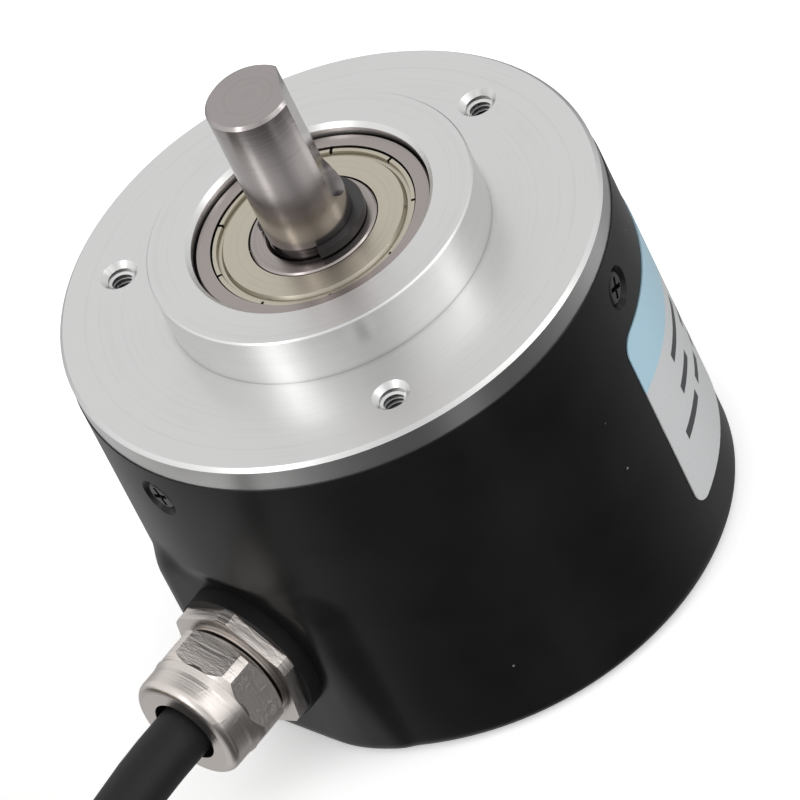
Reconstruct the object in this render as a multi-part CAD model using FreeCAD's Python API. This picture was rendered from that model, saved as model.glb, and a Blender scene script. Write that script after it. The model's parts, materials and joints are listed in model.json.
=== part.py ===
# An incremental rotary encoder: a round flange with a solid shaft on two ball bearings,
# a code disc and its board inside a black cup, and a cable that leaves through a metal gland.
# Millimetres. The shaft's axis is Z, and the origin is the centre of the rear face.
import FreeCAD
import Part
import os
from math import acos, atan2, cos, degrees, pi, radians, sin, sqrt, tan

V = FreeCAD.Vector
UP = V(0, 0, 1)

# Flange and cup
BODY_DEPTH = 36.8           # rear face to the flange's front face
FLANGE_R = 25.0
FLANGE_THICK = 2.5
BOSS_R = 15.0
BOSS_HEIGHT = 5.0
BORE_MOUTH_CHAMFER = 0.4
HUB_R = 12.5                # rear barrel of the flange, round both bearings
HUB_REAR = 26.0
SPIGOT_R = 24.0             # ring of the flange that the cup slides over
SPIGOT_INNER_R = 21.6
SPIGOT_REAR = 27.5
CUP_R = 25.1
CUP_WALL = 1.0
CUP_EDGE_ROUND = 1.5
FLANGE_FRONT = BODY_DEPTH
FLANGE_REAR = BODY_DEPTH - FLANGE_THICK
BOSS_FRONT = BODY_DEPTH + BOSS_HEIGHT

# Tapped holes for mounting, on one circle
MOUNT_CIRCLE_R = 20.0
MOUNT_AZIMUTHS = [-93.3, 26.7, 146.7]
MOUNT_HOLE_R = 1.25
MOUNT_MOUTH_R = 1.75
MOUNT_DEPTH = 7.0
MOUNT_LUG_R = 3.0

# Small screws that hold the cup, driven in radially
COVER_SCREW_AZIMUTHS = [-155.0, -35.0, 85.0]
COVER_SCREW_Z = BODY_DEPTH - 6.2
COVER_SCREW_R = 1.0
COVER_HEAD_R = 1.75

# Shaft
SHAFT_R = 4.0
SHAFT_TIP = BOSS_FRONT + 15.0
SHAFT_CHAMFER = 0.3
JOURNAL_R = 3.0             # thinner rear end that carries the code disc
JOURNAL_REAR = 22.75
FLAT_DISTANCE = 3.0         # shaft's axis to its flat
FLAT_AZIMUTH = -9.3
FLAT_END = BODY_DEPTH + 6.8     # lowest point of the flat's round end
FLAT_CUTTER_R = 3.0
FLAT_FULL = FLAT_END + 1.7      # from here up the flat has its full width
CLIP_GROOVE_R = 3.58
CLIP_OUTER_R = 4.9
CLIP_REAR = 40.9
CLIP_THICK = 0.8
CLIP_MIDDLE_AZIMUTH = 26.0
CLIP_GAP_DEG = 110.0

# Front bearing: 8 x 22 x 7 mm. Rear bearing: 8 x 16 x 5 mm.
FRONT = dict(bore=4.0, outer=11.0, front=BODY_DEPTH + 3.95, width=7.0, pitch=7.5, ball=1.9845,
             balls=7, inner_land=5.85, outer_land=9.05, seat=9.45, cage=(6.9, 8.1, 2.45))
REAR = dict(bore=4.0, outer=8.0, front=31.0, width=5.0, pitch=6.0, ball=1.19,
            balls=9, inner_land=5.0, outer_land=7.0, seat=7.2, cage=(5.65, 6.35, 1.6))
SHOULDER_REAR = 31.8        # rear side of the flange's shoulder between the bearings
SHOULDER_R = 6.9
SPACER_R = 5.0
SHIELD_THICK = 0.25
SHIELD_SLITS = 9

# Code disc, light source and board
DISC_R = 16.0
DISC_REAR = 22.6
DISC_THICK = 0.5
SENSOR_AZIMUTH = 146.7
SENSOR_R = 14.4
BOARD_R = 22.0
BOARD_REAR = 19.0
BOARD_THICK = 1.6
BOARD_FRONT = BOARD_REAR + BOARD_THICK
STANDOFF_AZIMUTHS = [-33.3, 86.7, -153.3]
STANDOFF_CIRCLE_R = 19.0
STANDOFF_LUG_REAR = 31.3

# Flat pad pressed into the cup for the gland, and the gland along its own axis
GLAND_AZIMUTH = -149.5
GLAND_Z = BODY_DEPTH - 25.0
PAD_FACE = 24.6             # distance of the pad's face from the shaft's axis
PAD_HALF = 9.3
PAD_FOOT_HALF = 10.85
PAD_TOP = 20.2
PAD_FOOT_TOP = 21.6
PAD_CORNER = 3.0
PAD_FOOT_CORNER = 4.5
PAD_REACH_R = 26.4          # how far out the pad's flanks reach, less at the bottom
PAD_LOW_R = 25.3
PAD_TAPER = 8.0
PAD_FOOT = 22.6
GLAND_THREAD_R = 4.0
GLAND_BORE_R = 3.0
GLAND_TURN = 20.0           # azimuth of the hexagon's first corner about the gland's axis
DOME_TURN = -12.5

# Cable
CABLE_R = 2.6
CABLE_INNER_END = 17.0
COIL_LAYERS = 4
COIL_TURNS = 2.5            # turns in each layer
COIL_STEP = 5.3             # from one turn to the next, in a layer and between layers
COIL_OUTER_TURN = 36.6      # radius of the middle of the outermost turn
COIL_LOW = 3.2              # height of the middle of the lowest layer
COIL_ENTRY = 88.0           # along the gland's axis, where the first turn starts
COIL_SHORT_DEG = 82.0       # how far the top layer's last turn stops short of a full one
TIE_THICK = 0.5
TIE_WIDTH = 2.6
TIE_AZIMUTH = 75.0
LEAD_R = 0.65
LEAD_NAMES = ["red", "black", "green", "white", "yellow"]

GLAND_OUT = V(cos(radians(GLAND_AZIMUTH)), sin(radians(GLAND_AZIMUTH)), 0)
GLAND_SIDE = V(-GLAND_OUT.y, GLAND_OUT.x, 0)


# ---------------------------------------------------------------- shared shapes

def disc(radius, low, high):
    return Part.makeCylinder(radius, high - low, V(0, 0, low))


def ring(outer, inner, low, high):
    return disc(outer, low, high).cut(disc(inner, low - 1, high + 1))


def spun(outline):
    """Solid of revolution about Z from (radius, height) corners."""
    corners = [V(r, 0, z) for r, z in outline]
    wire = Part.makePolygon(corners + corners[:1])
    return Part.Face(wire).revolve(V(0, 0, 0), UP, 360)


def turned(shape, azimuth):
    copy = shape.copy()
    copy.rotate(V(0, 0, 0), UP, azimuth)
    return copy


def polar(radius, azimuth, z=0.0):
    return V(radius * cos(radians(azimuth)), radius * sin(radians(azimuth)), z)


def each_way(shape, azimuths):
    return [turned(shape, a) for a in azimuths]


def group(solids):
    return Part.makeCompound(solids)


def block(x, y, z):
    """Box from (low, high) pairs."""
    return Part.makeBox(x[1] - x[0], y[1] - y[0], z[1] - z[0], V(x[0], y[0], z[0]))


def hexagon(across_flats, corner_r, low, high, first_corner):
    """Hexagonal prism along Z whose corners are turned down to corner_r."""
    reach = across_flats / sqrt(3)
    corners = [polar(reach, first_corner + 60 * i, low) for i in range(7)]
    prism = Part.Face(Part.makePolygon(corners)).extrude(V(0, 0, high - low))
    return prism.common(disc(corner_r, low, high))


def pointing(shape, out, side, at=V(0, 0, 0)):
    """Lays a shape made along Z along `out`, with its X along `side`."""
    up = out.cross(side)
    copy = shape.copy()
    copy.Placement = FreeCAD.Placement(FreeCAD.Matrix(
        side.x, up.x, out.x, at.x,
        side.y, up.y, out.y, at.y,
        side.z, up.z, out.z, at.z,
        0, 0, 0, 1))
    return copy


def on_gland(shape):
    return pointing(shape, GLAND_OUT, GLAND_SIDE, V(0, 0, GLAND_Z))


def gland_point(along, side, z):
    return GLAND_OUT * along + GLAND_SIDE * side + V(0, 0, z)


def route(points, label=""):
    """Straight runs joined by tangent arcs, as large as the runs beside them allow."""
    edges = []
    start = points[0]
    smallest = None
    for before, corner, after in zip(points, points[1:], points[2:]):
        come = (corner - before).normalize()
        go = (after - corner).normalize()
        half = acos(max(-1, min(1, come.dot(go)))) / 2
        short = min((corner - before).Length, (after - corner).Length)
        radius = 0.45 * short / tan(half)
        back = radius * tan(half)
        first = corner - come * back
        last = corner + go * back
        inward = (go - come).normalize()
        middle = corner + inward * (radius / cos(half) - radius)
        edges.append(Part.LineSegment(start, first).toShape())
        edges.append(Part.Arc(first, middle, last).toShape())
        start = last
        smallest = radius if smallest is None else min(smallest, radius)
    edges.append(Part.LineSegment(start, points[-1]).toShape())
    if label and smallest:
        print(label, "smallest radius %.1f" % smallest)
    return Part.Wire(edges)


def tube(points, radius, label=""):
    path = route(points, label)
    ahead = points[1] - points[0]
    section = Part.Wire(Part.makeCircle(radius, points[0], ahead))
    solid = path.makePipeShell([section], True, False)
    if label:
        want = pi * radius ** 2 * path.Length
        print(label, "length %.1f, volume %.1f, section x length %.1f" % (path.Length, solid.Volume, want))
    return solid


# ---------------------------------------------------------------- flange and cup

def front_flange():
    front, rear = FLANGE_FRONT, FLANGE_REAR
    bearing_rear = FRONT["front"] - FRONT["width"]
    plate = spun([(0, rear), (FLANGE_R, rear), (FLANGE_R, front - 0.35), (FLANGE_R - 0.35, front), (0, front)])
    boss = spun([(0, rear), (BOSS_R, rear), (BOSS_R, BOSS_FRONT - 0.15), (BOSS_R - 0.15, BOSS_FRONT), (0, BOSS_FRONT)])
    body = plate.fuse([boss, disc(HUB_R, HUB_REAR, rear), ring(SPIGOT_R, SPIGOT_INNER_R, SPIGOT_REAR, rear)])
    lugs = [Part.makeCylinder(MOUNT_LUG_R, rear - 28.8, polar(MOUNT_CIRCLE_R, a, 28.8)) for a in MOUNT_AZIMUTHS]
    posts = [Part.makeCylinder(2.9, rear - STANDOFF_LUG_REAR, polar(STANDOFF_CIRCLE_R, a, STANDOFF_LUG_REAR))
             for a in STANDOFF_AZIMUTHS]
    body = body.fuse(lugs + posts)
    bore = spun([
        (0, HUB_REAR - 1), (REAR["outer"], HUB_REAR - 1), (REAR["outer"], SHOULDER_REAR),
        (SHOULDER_R, SHOULDER_REAR), (SHOULDER_R, bearing_rear), (FRONT["outer"], bearing_rear),
        (FRONT["outer"], BOSS_FRONT - BORE_MOUTH_CHAMFER),
        (FRONT["outer"] + BORE_MOUTH_CHAMFER, BOSS_FRONT), (FRONT["outer"] + BORE_MOUTH_CHAMFER, BOSS_FRONT + 1),
        (0, BOSS_FRONT + 1)])
    chamfer = MOUNT_MOUTH_R - MOUNT_HOLE_R
    tapped = spun([
        (0, front - MOUNT_DEPTH - 0.7), (MOUNT_HOLE_R, front - MOUNT_DEPTH), (MOUNT_HOLE_R, front - chamfer),
        (MOUNT_MOUTH_R, front), (MOUNT_MOUTH_R, front + 1), (0, front + 1)])
    cuts = [bore, ring(SPIGOT_R + 1, 23.1, 32.5, 33.5)]
    for a in MOUNT_AZIMUTHS:
        hole = tapped.copy()
        hole.translate(polar(MOUNT_CIRCLE_R, a))
        cuts.append(hole)
    for a in STANDOFF_AZIMUTHS:
        cuts.append(Part.makeCylinder(1.25, 3.8, polar(STANDOFF_CIRCLE_R, a, STANDOFF_LUG_REAR)))
    for a in COVER_SCREW_AZIMUTHS:
        cuts.append(Part.makeCylinder(COVER_SCREW_R, 5, polar(20.5, a, COVER_SCREW_Z), polar(1, a)))
    return body.cut(cuts)


def pad_outline(face, half, top, corner, low):
    """Rectangle with two round upper corners, square to the gland's axis."""
    def at(side, z):
        return gland_point(face, side, z)
    bend = corner * (1 - sqrt(0.5))
    edges = [
        Part.LineSegment(at(-half, low), at(half, low)).toShape(),
        Part.LineSegment(at(half, low), at(half, top - corner)).toShape(),
        Part.Arc(at(half, top - corner), at(half - bend, top - bend), at(half - corner, top)).toShape(),
        Part.LineSegment(at(half - corner, top), at(corner - half, top)).toShape(),
        Part.Arc(at(corner - half, top), at(bend - half, top - bend), at(-half, top - corner)).toShape(),
        Part.LineSegment(at(-half, top - corner), at(-half, low)).toShape()]
    return Part.Wire(edges)


def cup_shape(offset):
    """The cup's outside, or with an offset the hollow that lies that far inside it."""
    radius = CUP_R - offset
    face = PAD_FACE - offset
    edge = CUP_EDGE_ROUND - offset * 0.6
    low = offset
    slim = offset * 0.75
    drum = disc(radius, low, FLANGE_REAR)
    drum = drum.makeFillet(edge, [e for e in drum.Edges if e.BoundBox.ZMax < low + 0.01 and e.BoundBox.XLength > 1])
    proud = Part.makeLoft([
        pad_outline(PAD_FOOT - offset - 1.2, PAD_FOOT_HALF - slim + 1.2, PAD_FOOT_TOP - slim + 1.0, PAD_FOOT_CORNER, low),
        pad_outline(face, PAD_HALF - slim, PAD_TOP - slim, PAD_CORNER, low)], True)
    limit = Part.makeCone(PAD_LOW_R - offset, PAD_REACH_R - offset, PAD_TAPER, V(0, 0, low))
    limit = limit.fuse(disc(PAD_REACH_R - offset, low + PAD_TAPER, FLANGE_REAR)).removeSplitter()
    limit = limit.makeFillet(1.7, [e for e in limit.Edges if e.BoundBox.ZMax < low + 0.01 and e.BoundBox.XLength > 1])
    sunk = Part.makeLoft([
        pad_outline(face, PAD_HALF - slim, PAD_TOP - slim, PAD_CORNER, low - 3),
        pad_outline(face + 2, PAD_HALF - slim + 1.2, PAD_TOP - slim + 2.4, PAD_CORNER, low - 3)], True)
    return drum.fuse(proud.common(limit)).cut(sunk)


def housing_cup():
    body = cup_shape(0).cut(cup_shape(CUP_WALL))
    body = body.cut(disc(CUP_R - CUP_WALL, FLANGE_REAR - 1, FLANGE_REAR + 1))
    cuts = [on_gland(disc(GLAND_THREAD_R + 0.05, 20, 28))]
    for a in COVER_SCREW_AZIMUTHS:
        dimple = Part.makeCone(COVER_SCREW_R + 0.1, COVER_HEAD_R + 0.5, 1.3, polar(24.0, a, COVER_SCREW_Z), polar(1, a))
        cuts.append(dimple)
    return body.cut(cuts)


def cover_seal_ring():
    return Part.makeTorus(23.58, 0.45, V(0, 0, 33.0))


def cover_screws():
    head = Part.makeCone(COVER_SCREW_R, COVER_HEAD_R, 0.75, V(0, 0, 24.1))
    crown = Part.makeCylinder(COVER_HEAD_R, 0.12, V(0, 0, 24.85))
    shank = Part.makeCylinder(COVER_SCREW_R, 2.3, V(0, 0, 21.8))
    cross = block((-0.95, 0.95), (-0.17, 0.17), (24.4, 25.2)).fuse(block((-0.17, 0.17), (-0.95, 0.95), (24.4, 25.2)))
    screw = head.fuse([crown, shank]).cut(cross)
    made = []
    for turn, a in zip((20, 50, 75), COVER_SCREW_AZIMUTHS):
        one = turned(screw, turn)
        made.append(pointing(one, polar(1, a), polar(1, a + 90), V(0, 0, COVER_SCREW_Z)))
    return group(made)


def rating_label():
    """Thin sticker wrapped on the cup, with round corners."""
    low, high, corner, thick = 5.7, 26.6, 1.8, 0.12
    start, sweep = -42.3, 105.0
    sheet = ring(CUP_R + thick, CUP_R, low, high)
    wedge = Part.makeCylinder(40, high - low + 2, V(0, 0, low - 1), UP, sweep)
    sheet = sheet.common(turned(wedge, start))
    for azimuth, inward in ((start, 1), (start + sweep, -1)):
        for z, rise in ((low, 1), (high, -1)):
            centre = azimuth + inward * degrees(corner / CUP_R)
            out, side = polar(1, centre), polar(1, centre + 90)
            x = (-corner - 0.5, 0) if inward > 0 else (0, corner + 0.5)
            y = (-corner - 0.5, 0) if rise > 0 else (0, corner + 0.5)
            nib = block(x, y, (20, 30)).cut(disc(corner, 19, 31))
            sheet = sheet.cut(pointing(nib, out, side, V(0, 0, z + rise * corner)))
    return sheet


# ---------------------------------------------------------------- bearings

def race_groove(b):
    return Part.makeTorus(b["pitch"], b["ball"] + 0.035, V(0, 0, b["front"] - b["width"] / 2))


def outer_ring(b):
    front = b["front"]
    rear = front - b["width"]
    edge, lip = 0.3, 0.9 if b is FRONT else 0.5
    body = spun([
        (b["seat"], rear), (b["outer"] - edge, rear), (b["outer"], rear + edge), (b["outer"], front - edge),
        (b["outer"] - edge, front), (b["seat"], front), (b["seat"], front - lip), (b["outer_land"], front - lip),
        (b["outer_land"], rear + lip), (b["seat"], rear + lip)])
    return body.cut(race_groove(b))


def inner_ring(b):
    front = b["front"]
    rear = front - b["width"]
    edge, bore_edge = 0.15, 0.35
    body = spun([
        (b["bore"] + bore_edge, rear), (b["inner_land"] - edge, rear), (b["inner_land"], rear + edge),
        (b["inner_land"], front - edge), (b["inner_land"] - edge, front), (b["bore"] + bore_edge, front),
        (b["bore"], front - bore_edge), (b["bore"], rear + bore_edge)])
    return body.cut(race_groove(b))


def ball_centres(b):
    middle = b["front"] - b["width"] / 2
    return [polar(b["pitch"], 360 * i / b["balls"], middle) for i in range(b["balls"])]


def balls(b):
    return group([Part.makeSphere(b["ball"], c) for c in ball_centres(b)])


def cage(b):
    inner, outer, half = b["cage"]
    middle = b["front"] - b["width"] / 2
    body = ring(outer, inner, middle - half, middle + half)
    for centre in ball_centres(b):
        out = V(centre.x, centre.y, 0)
        body = body.cut(Part.makeCylinder(b["ball"] + 0.05, 4, centre - out * (2 / b["pitch"]), out))
    return body


def front_shield():
    """Pressed shield: flat ring, step down, and a curled rim with slits where it is crimped in."""
    z, t = FRONT["front"] - 0.12, SHIELD_THICK
    body = spun([
        (5.98, z), (8.3, z), (8.55, z - 0.38), (8.85, z - 0.38), (8.95, z - 0.05), (9.3, z - 0.05), (9.45, z - 0.35),
        (9.2, z - 0.38 - t), (8.35, z - 0.38 - t), (8.1, z - t), (5.98, z - t)])
    slit = block((8.88, 9.6), (-0.14, 0.14), (z - 0.45, z + 1))
    return body.cut(each_way(slit, [-20 + 360 / SHIELD_SLITS * i for i in range(SHIELD_SLITS)]))


def back_shield():
    rear = FRONT["front"] - FRONT["width"] + 0.2
    return ring(FRONT["seat"], 5.98, rear, rear + SHIELD_THICK)


def rear_shields():
    front = REAR["front"] - 0.15
    rear = REAR["front"] - REAR["width"] + 0.15
    return group([ring(REAR["seat"], 5.12, low, low + SHIELD_THICK) for low in (front - SHIELD_THICK, rear)])


def preload_washer():
    """Wavy spring ring between the shoulder and the rear bearing's outer ring."""
    inner, outer, thick = 7.05, 7.9, 0.25
    swing = (SHOULDER_REAR - REAR["front"] - thick) / 2
    middle = (SHOULDER_REAR + REAR["front"]) / 2

    def loop(radius, rise):
        points = [polar(radius, 5 * i, middle + rise + swing * cos(radians(15 * i))) for i in range(72)]
        curve = Part.BSplineCurve()
        curve.interpolate(points, PeriodicFlag=True)
        return curve.toShape()

    low_in, low_out = loop(inner, -thick / 2), loop(outer, -thick / 2)
    top_in, top_out = loop(inner, thick / 2), loop(outer, thick / 2)
    pairs = [(low_in, low_out), (low_out, top_out), (top_out, top_in), (top_in, low_in)]
    faces = [Part.makeRuledSurface(a, b) for a, b in pairs]
    shell = Part.makeShell(faces)
    shell.sewShape()
    solid = Part.makeSolid(shell)
    if solid.Volume < 0:
        solid.reverse()
    return solid


def inner_spacer():
    return ring(SPACER_R, SHAFT_R, REAR["front"], FRONT["front"] - FRONT["width"])


# ---------------------------------------------------------------- shaft and code disc

def shaft():
    body = spun([
        (0, JOURNAL_REAR), (JOURNAL_R - 0.2, JOURNAL_REAR), (JOURNAL_R, JOURNAL_REAR + 0.2), (JOURNAL_R, HUB_REAR),
        (SHAFT_R, HUB_REAR), (SHAFT_R, CLIP_REAR - 0.05), (CLIP_GROOVE_R, CLIP_REAR - 0.05),
        (CLIP_GROOVE_R, CLIP_REAR + CLIP_THICK + 0.05), (SHAFT_R, CLIP_REAR + CLIP_THICK + 0.05),
        (SHAFT_R, FLAT_FULL), (SHAFT_R, SHAFT_TIP - SHAFT_CHAMFER), (SHAFT_R - SHAFT_CHAMFER, SHAFT_TIP), (0, SHAFT_TIP)])
    flat = block((FLAT_DISTANCE, 6), (-5, 5), (FLAT_END + FLAT_CUTTER_R, SHAFT_TIP + 1))
    cutter = Part.makeCylinder(FLAT_CUTTER_R, 4, V(FLAT_DISTANCE, 0, FLAT_END + FLAT_CUTTER_R), V(1, 0, 0))
    tap = disc(1.0, JOURNAL_REAR - 1, JOURNAL_REAR + 5)
    return body.cut([turned(flat, FLAT_AZIMUTH), turned(cutter, FLAT_AZIMUTH), tap])


def snap_ring():
    """Open ring in the shaft's groove, widest opposite its gap."""
    low, high = CLIP_REAR, CLIP_REAR + CLIP_THICK
    outline = Part.makeCylinder(CLIP_OUTER_R, high - low, polar(0.15, CLIP_MIDDLE_AZIMUTH, low))
    body = outline.cut(disc(CLIP_GROOVE_R + 0.02, low - 1, high + 1))
    first = CLIP_MIDDLE_AZIMUTH + 180 - CLIP_GAP_DEG / 2
    gap = Part.makeCylinder(8, high - low + 2, V(0, 0, low - 1), UP, CLIP_GAP_DEG)
    return body.cut(turned(gap, first))


def disc_hub():
    low = DISC_REAR + DISC_THICK
    return spun([(JOURNAL_R, low), (7.5, low), (7.5, low + 1), (4.9, low + 1), (4.9, HUB_REAR), (JOURNAL_R, HUB_REAR)])


def code_disc():
    return ring(DISC_R, JOURNAL_R + 0.05, DISC_REAR, DISC_REAR + DISC_THICK)


def disc_clamp():
    return ring(6.0, 1.05, DISC_REAR - 0.4, DISC_REAR)


def disc_screw():
    under = DISC_REAR - 0.4
    head = disc(1.9, under - 1.2, under)
    cross = block((-1.1, 1.1), (-0.2, 0.2), (under - 2, under - 0.6))
    return head.fuse(disc(1.0, under, under + 4.5)).cut([cross, turned(cross, 90)])


# ---------------------------------------------------------------- board and optics

def at_sensor(shape):
    return turned(shape, SENSOR_AZIMUTH)


def circuit_board():
    body = ring(BOARD_R, 5.0, BOARD_REAR, BOARD_FRONT)
    return body.cut([Part.makeCylinder(1.1, 4, polar(STANDOFF_CIRCLE_R, a, BOARD_REAR - 1)) for a in STANDOFF_AZIMUTHS])


def light_block():
    post = block((16.6, 20.0), (-4.5, 4.5), (BOARD_FRONT, 27.5))
    arm = block((12.9, 20.0), (-4.5, 4.5), (24.3, 27.5))
    lamp_hole = Part.makeCylinder(1.5, 2.6, V(SENSOR_R, 0, 24.2))
    wire_hole = Part.makeCylinder(1.1, 2, V(SENSOR_R, 0, 26.5))
    return at_sensor(post.fuse(arm).cut([lamp_hole, wire_hole]))


def light_emitter():
    body = Part.makeCylinder(1.45, 1.7, V(SENSOR_R, 0, 25.1))
    dome = Part.makeSphere(1.45, V(SENSOR_R, 0, 25.8)).common(block((10, 20), (-3, 3), (24.4, 25.8)))
    return at_sensor(body.fuse(dome))


def emitter_leads():
    made = []
    for side in (-0.6, 0.6):
        up = Part.makeCylinder(0.22, 1.2, V(SENSOR_R, side, 26.8))
        over = Part.makeCylinder(0.22, 6.3, V(SENSOR_R, side, 28.0), V(1, 0, 0))
        down = Part.makeCylinder(0.22, 28.0 - BOARD_FRONT, V(SENSOR_R + 6.3, side, BOARD_FRONT))
        bends = [Part.makeSphere(0.22, V(SENSOR_R + x, side, 28.0)) for x in (0, 6.3)]
        made.append(at_sensor(up.fuse([over, down] + bends)))
    return group(made)


def detector_chip():
    return at_sensor(block((11.8, 16.2), (-3, 3), (BOARD_FRONT, BOARD_FRONT + 0.9)))


def reticle():
    return at_sensor(block((12.8, 15.8), (-2.4, 2.4), (BOARD_FRONT + 0.9, BOARD_FRONT + 1.4)))


def board_chips():
    low, high = BOARD_REAR - 1.6, BOARD_REAR
    spots = [(-75, 12, 5.0, 2.0), (-15, 12, 4.4, 2.0), (45, 11, 3.3, 3.3)]
    made = []
    for azimuth, radius, half_long, half_wide in spots:
        body = block((radius - half_wide, radius + half_wide), (-half_long, half_long), (low, high))
        made.append(turned(body, azimuth))
    return group(made)


def board_small_parts():
    made = []
    for i in range(14):
        chip = block((15.1, 16.6), (-0.45, 0.45), (BOARD_REAR - 0.6, BOARD_REAR))
        made.append(turned(chip, -100 + 14 * i + (4 if i % 3 == 0 else 0)))
    for azimuth in (102, 128):
        made.append(Part.makeCylinder(2.5, 5.4, polar(13, azimuth, BOARD_REAR - 5.4)))
    return group(made)


def wire_connector():
    body = block((9.3, 13.3), (-6, 6), (BOARD_REAR - 4.6, BOARD_REAR))
    slots = [block((12.3, 14), (-5.0 + 2.2 * i, -3.8 + 2.2 * i), (BOARD_REAR - 3.6, BOARD_REAR - 1.6)) for i in range(5)]
    return turned(body.cut(slots), GLAND_AZIMUTH)


def board_standoffs():
    made = []
    for a in STANDOFF_AZIMUTHS:
        post = hexagon(4.0, 2.3, BOARD_FRONT, STANDOFF_LUG_REAR, 15)
        stud = disc(1.25, STANDOFF_LUG_REAR, STANDOFF_LUG_REAR + 3.5)
        one = post.fuse(stud).cut(disc(1.0, BOARD_FRONT - 1, BOARD_FRONT + 5))
        one.translate(polar(STANDOFF_CIRCLE_R, a))
        made.append(one)
    return group(made)


def board_screws():
    made = []
    for a in STANDOFF_AZIMUTHS:
        head = disc(1.9, BOARD_REAR - 1.3, BOARD_REAR)
        cross = block((-1.1, 1.1), (-0.2, 0.2), (BOARD_REAR - 2, BOARD_REAR - 0.7))
        one = head.fuse(disc(1.0, BOARD_REAR, BOARD_FRONT + 4)).cut([cross, turned(cross, 90)])
        one.translate(polar(STANDOFF_CIRCLE_R, a))
        made.append(one)
    return group(made)


# ---------------------------------------------------------------- gland

def gland_gasket():
    return on_gland(ring(7.0, GLAND_THREAD_R + 0.05, PAD_FACE, 26.1))


def gland_body():
    base = hexagon(12.3, 6.8, 26.1, 27.5, GLAND_TURN)
    inner_thread = disc(GLAND_THREAD_R, 18.6, 26.1)
    outer_thread = spun([
        (0, 27.5), (5.2, 27.5), (5.2, 27.75), (4.85, 27.9), (4.85, 31.0), (4.5, 31.4), (4.5, 32.4), (0, 32.4)])
    body = base.fuse([inner_thread, outer_thread])
    bore = spun([(0, 18), (GLAND_BORE_R, 18), (GLAND_BORE_R, 28.4), (3.85, 28.8), (3.85, 33), (0, 33)])
    return on_gland(body.cut(bore))


def gland_lock_nut():
    high = PAD_FACE - CUP_WALL
    low = high - 2.2
    return on_gland(hexagon(11, 6.0, low, high, 10).cut(disc(GLAND_THREAD_R + 0.02, low - 1, high + 1)))


def gland_dome_nut():
    across, corner_r, collar_r, back, end = 11.0, 6.1, 5.45, 28.2, 35.1
    bevel = spun([
        (0, back), (5.45, back), (corner_r + 0.05, back + 0.6), (corner_r + 0.05, 31.3), (5.65, 31.9),
        (collar_r, 32.6), (collar_r, 35.0), (0, 35.0)])
    nut = hexagon(across, corner_r, back, 31.9, DOME_TURN)
    collar = spun([(0, 31.0), (5.3, 31.0), (5.6, 31.9), (collar_r, 32.6), (collar_r, end), (0, end)])
    collar = collar.makeFillet(0.85, [e for e in collar.Edges if e.BoundBox.ZMin > end - 0.01 and e.BoundBox.XLength > 1])
    body = nut.common(bevel).fuse(collar)
    hollow = spun([(0, back - 1), (5.3, back - 1), (5.3, back), (4.9, back + 0.4), (4.9, 32.5), (4.0, 33.3), (3.2, 33.8),
                   (3.2, end + 1), (0, end + 1)])
    return on_gland(body.cut(hollow))


def gland_seal():
    return on_gland(ring(3.82, CABLE_R, 28.85, 33.2))


# ---------------------------------------------------------------- cable

def coil_centre():
    return gland_point(COIL_ENTRY, -COIL_OUTER_TURN, 0)


def coil_span():
    """Innermost and outermost radius of the coil, and its lowest and highest point."""
    inner = COIL_OUTER_TURN - COIL_STEP * COIL_TURNS - CABLE_R
    high = COIL_LOW + COIL_STEP * (COIL_LAYERS - 1) + CABLE_R
    return inner, COIL_OUTER_TURN + CABLE_R, COIL_LOW - CABLE_R, high


def cable_points():
    """From inside the cup, straight out through the gland, and down to the coil's lowest layer."""
    return [
        gland_point(CABLE_INNER_END, 0, GLAND_Z),
        gland_point(43, 0, GLAND_Z),
        gland_point(68, 0.6, GLAND_Z - 4.4),
        gland_point(COIL_ENTRY, 0, COIL_LOW)]


def cable():
    return tube(cable_points(), CABLE_R, "cable")


def coil_point(radius, angle, z):
    """Point of the coil. Angle 0 is where the cable joins it, and the turns wind towards higher angles."""
    turn = radians(angle)
    return coil_centre() + GLAND_SIDE * (radius * cos(turn)) + GLAND_OUT * (radius * sin(turn)) + V(0, 0, z)


def cable_coil():
    """Outer shape of the layers of turns, with a step where the last turn stops."""
    inner, outer, low, high = coil_span()
    soft = 1.6
    body = spun([
        (inner, low + soft), (inner + soft, low), (outer - soft, low), (outer, low + soft), (outer, high - soft),
        (outer - soft, high), (inner + soft, high), (inner, high - soft)])
    step = ring(outer + 2, COIL_OUTER_TURN - CABLE_R, high - 2 * CABLE_R, high + 2)
    wedge = Part.makeCylinder(60, 60, V(0, 0, 0), UP, COIL_SHORT_DEG)
    start = degrees(atan2(GLAND_SIDE.y, GLAND_SIDE.x))
    body = body.cut(turned(step.common(wedge), start))
    body.translate(coil_centre())
    return body


def cable_tie():
    """Flat strap with a buckle, drawn round the turns."""
    inner, outer, low, high = coil_span()
    gap = 0.08
    hole = block((inner - gap, outer + gap), (-TIE_WIDTH, TIE_WIDTH), (low - gap, high + gap))
    strap = block((inner - gap - TIE_THICK, outer + gap + TIE_THICK), (-TIE_WIDTH / 2, TIE_WIDTH / 2),
                  (low - gap - TIE_THICK, high + gap + TIE_THICK))
    strap = strap.makeFillet(1.4, [e for e in strap.Edges if e.BoundBox.YLength > 1])
    hole = hole.makeFillet(1.0, [e for e in hole.Edges if e.BoundBox.YLength > 1])
    buckle = block((outer + gap, outer + gap + 3.2), (-2.2, 2.2), (high - 9, high - 5))
    body = turned(strap.cut(hole).fuse(buckle), TIE_AZIMUTH)
    body.translate(coil_centre())
    return body


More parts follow.
